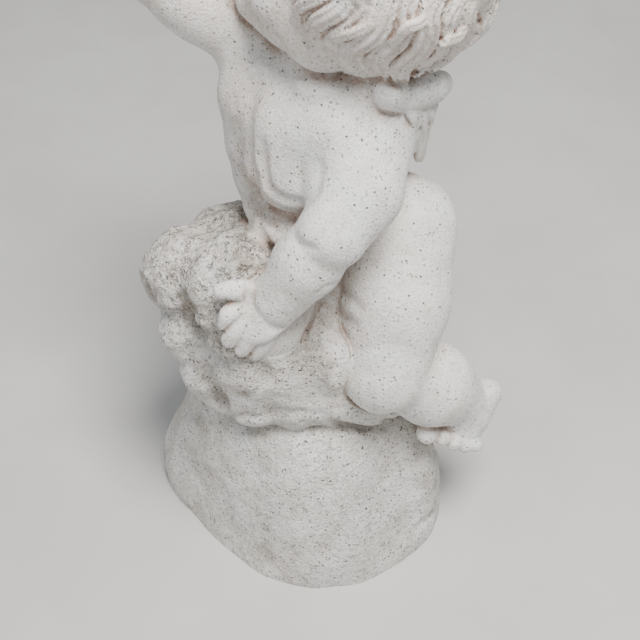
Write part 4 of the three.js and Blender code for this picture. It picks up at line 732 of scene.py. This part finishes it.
# ---------------------------------------------------------------- cast stone
class Nodes:
    """Short spelling for a material's nodes."""
    def __init__(self, name):
        self.m = bpy.data.materials.new(name); self.m.use_nodes = True; self.t = self.m.node_tree; self.t.nodes.clear()
    def add(self, kind, props=(), **inputs):
        n = self.t.nodes.new(kind)
        for k, v in props: setattr(n, k, v)
        for k, v in inputs.items():
            s = n.inputs[int(k[1:])] if k[0] == "i" and k[1:].isdigit() else n.inputs[k.replace("_", " ")]
            if isinstance(v, bpy.types.NodeSocket): self.t.links.new(v, s)
            else: s.default_value = v
        return n
    def noise(self, size, detail=2.0, rough=.5, off=0.0):
        """Noise whose features are about size mm across, in the object's own space."""
        c = self.coord if not off else self.add("ShaderNodeVectorMath", [("operation", "ADD")], i0=self.coord, i1=(off, off * .7, -off)).outputs[0]
        return self.add("ShaderNodeTexNoise", Vector=c, Scale=1000.0 / size, Detail=detail, Roughness=rough).outputs[0]
    def cells(self, size, rand=1.0):
        return self.add("ShaderNodeTexVoronoi", Vector=self.coord, Scale=1000.0 / size, Randomness=rand)
    def span(self, v, a, b, lo=0.0, hi=1.0):
        return self.add("ShaderNodeMapRange", [("interpolation_type", "SMOOTHSTEP")], i0=v, i1=a, i2=b, i3=lo, i4=hi).outputs[0]
    def math(self, op, a, b): return self.add("ShaderNodeMath", [("operation", op)], i0=a, i1=b).outputs[0]
    def mix(self, f, a, b):
        n = self.t.nodes.new("ShaderNodeMix"); n.data_type = "RGBA"
        for i, v in ((0, f), (6, a), (7, b)):
            if isinstance(v, bpy.types.NodeSocket): self.t.links.new(v, n.inputs[i])
            else: n.inputs[i].default_value = v if i == 0 else tuple(v) + (1.0,)
        return n.outputs[2]


def cast_stone():
    N = Nodes("cast_stone"); N.coord = N.add("ShaderNodeTexCoord").outputs["Object"]
    get = lambda name: N.add("ShaderNodeAttribute", [("attribute_name", name)]).outputs["Fac"]
    rock, hollow_shade_and_dirt, worn, warm = get("rock"), get("hollow_shade_and_dirt"), get("worn"), get("stain")
    # the cement's own colour: cream, clouded warm and cool
    col = N.mix(N.span(N.noise(95, 3, .55), .36, .64), (.80, .765, .715), (.735, .735, .725))
    col = N.mix(N.span(N.noise(21, 4, .6, 3.1), .40, .68, 0, .6), col, (.63, .575, .51))
    col = N.mix(N.span(N.noise(7, 3, .6, 7.7), .50, .70, 0, .4), col, (.88, .87, .845))
    # the rock is greyer and takes more dirt
    col = N.mix(N.math("MULTIPLY", rock, N.span(N.noise(34, 4, .62, 1.9), .38, .63, .02, .62)), col, (.60, .565, .51))
    col = N.mix(N.math("MULTIPLY", worn, N.span(N.noise(9, 4, .65, 5.3), .36, .60, .05, .66)), col, (.46, .42, .37))
    col = N.mix(N.math("MULTIPLY", warm, N.span(N.noise(10, 4, .65, 3.7), .34, .58, .10, .92)), col, (.53, .405, .33))
    # painted shade with dirt in the hollows, darkest where the occlusion is deepest: warm brown on the figure,
    # grey-brown on the rock
    crevice_shade_and_dirt = N.math("MULTIPLY", N.span(hollow_shade_and_dirt, .12, .66), N.span(N.noise(13, 4, .65, 2.2), .25, .62, .4, 1.0))
    col = N.mix(N.math("MULTIPLY", crevice_shade_and_dirt, .88), col, N.mix(rock, (.37, .25, .185), (.33, .285, .235)))
    # aggregate: fine dark, brown and pale grains, and pin holes
    more = N.math("ADD", N.math("MULTIPLY", rock, .30), .70)
    fine = N.noise(2.1, 3, .62)
    col = N.mix(N.math("MULTIPLY", N.span(fine, .55, .67, 0, .66), more), col, (.25, .20, .155))
    col = N.mix(N.span(fine, .44, .32, 0, .6), col, (.93, .925, .91))
    grain = N.cells(4.2); grains = N.math("MULTIPLY", N.span(grain.outputs["Distance"], .34, .20), N.span(N.noise(15, 3, .6, 9.0), .42, .58, .18, 1.0))
    pick = N.add("ShaderNodeSeparateColor", Color=grain.outputs["Color"]).outputs[0]
    grains = N.math("MULTIPLY", N.math("MULTIPLY", grains, N.span(pick, .42, .56)), more)
    col = N.mix(N.math("MULTIPLY", grains, .85), col, (.14, .112, .088))
    pore = N.cells(7.6); pores = N.span(pore.outputs["Distance"], .165, .085)
    pores = N.math("MULTIPLY", pores, N.span(N.add("ShaderNodeSeparateColor", Color=pore.outputs["Color"]).outputs[1], .38, .66))
    col = N.mix(N.math("MULTIPLY", pores, .85), col, (.10, .08, .066))
    # relief too fine for the mesh: sandy grain, pin holes, pitting on the rock
    sand = N.math("MULTIPLY", N.noise(2.3, 3, .65, 4.4), N.math("ADD", N.math("MULTIPLY", rock, .55), .90))
    crumb = N.math("MULTIPLY", N.noise(7.5, 3, .6, 1.3), N.math("ADD", N.math("MULTIPLY", rock, 1.2), N.math("MULTIPLY", worn, 1.6)))
    pit = N.math("MULTIPLY", N.span(N.noise(6.2, 3, .6, 8.1), .54, .68), N.math("ADD", N.math("MULTIPLY", rock, .8), N.math("MULTIPLY", worn, 1.6)))
    h = N.math("SUBTRACT", N.math("ADD", sand, crumb), N.math("ADD", N.math("ADD", N.math("MULTIPLY", pores, 1.0), N.math("MULTIPLY", grains, .4)), pit))
    bump = N.add("ShaderNodeBump", Strength=1.0, Distance=.0017, Height=h).outputs[0]
    b = N.add("ShaderNodeBsdfPrincipled", Base_Color=col, Roughness=N.span(N.noise(5, 2, .5, 6.6), .3, .7, .80, .95), Normal=bump)
    b.inputs["Specular IOR Level"].default_value = .28
    N.add("ShaderNodeOutputMaterial", Surface=b.outputs[0])
    return N.m


def plaster_floor():
    N = Nodes("pale_floor"); N.coord = N.add("ShaderNodeTexCoord").outputs["Object"]
    col = N.mix(N.span(N.noise(240, 4, .55), .35, .65), (.52, .505, .485), (.56, .545, .53))
    bump = N.add("ShaderNodeBump", Strength=.2, Distance=.0006, Height=N.noise(3, 3, .6)).outputs[0]
    b = N.add("ShaderNodeBsdfPrincipled", Base_Color=col, Roughness=N.span(N.noise(60, 3, .5), .3, .7, .6, .75), Normal=bump)
    N.add("ShaderNodeOutputMaterial", Surface=b.outputs[0])
    return N.m


statue = build()
statue.data.materials.append(cast_stone())
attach(statue, "root")
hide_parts("cherub_statue")

# ---------------------------------------------------------------- floor, light, camera
me = bpy.data.meshes.new("floor"); bm = bmesh.new()
bmesh.ops.create_grid(bm, x_segments=2, y_segments=2, size=6.0); bm.to_mesh(me); bm.free()
floor = bpy.data.objects.new("floor", me); bpy.context.scene.collection.objects.link(floor)
me.materials.append(plaster_floor())

world = bpy.data.worlds.new("studio"); bpy.context.scene.world = world; world.use_nodes = True
bg = world.node_tree.nodes["Background"]; bg.inputs[0].default_value = (.90, .95, 1.0, 1); bg.inputs[1].default_value = .40


def panel(name, at, look, size, watts, colour):
    l = bpy.data.lights.new(name, "AREA"); l.shape = "DISK"; l.size = size; l.energy = watts; l.color = colour
    o = bpy.data.objects.new(name, l); o.location = at
    o.rotation_euler = (Vector(look) - Vector(at)).to_track_quat("-Z", "Y").to_euler()
    bpy.context.scene.collection.objects.link(o)


panel("overhead", (.45, -.75, 2.6), (0, 0, .4), 1.05, 126, (1.0, .99, .975))
panel("fill", (-2.0, -1.3, 1.5), (0, 0, .4), 1.6, 14, (.95, .975, 1.0))

cam = bpy.data.objects.new("camera", bpy.data.cameras.new("camera")); bpy.context.scene.collection.objects.link(cam)
cam.location = (.026 - .0298, -.904 - .0015, 1.160); cam.rotation_euler = (radians(45), 0, 0)
cam.data.sensor_width = 36; cam.data.lens = 36 * 1222 / 640.0; cam.data.clip_start = .05
bpy.context.scene.camera = cam
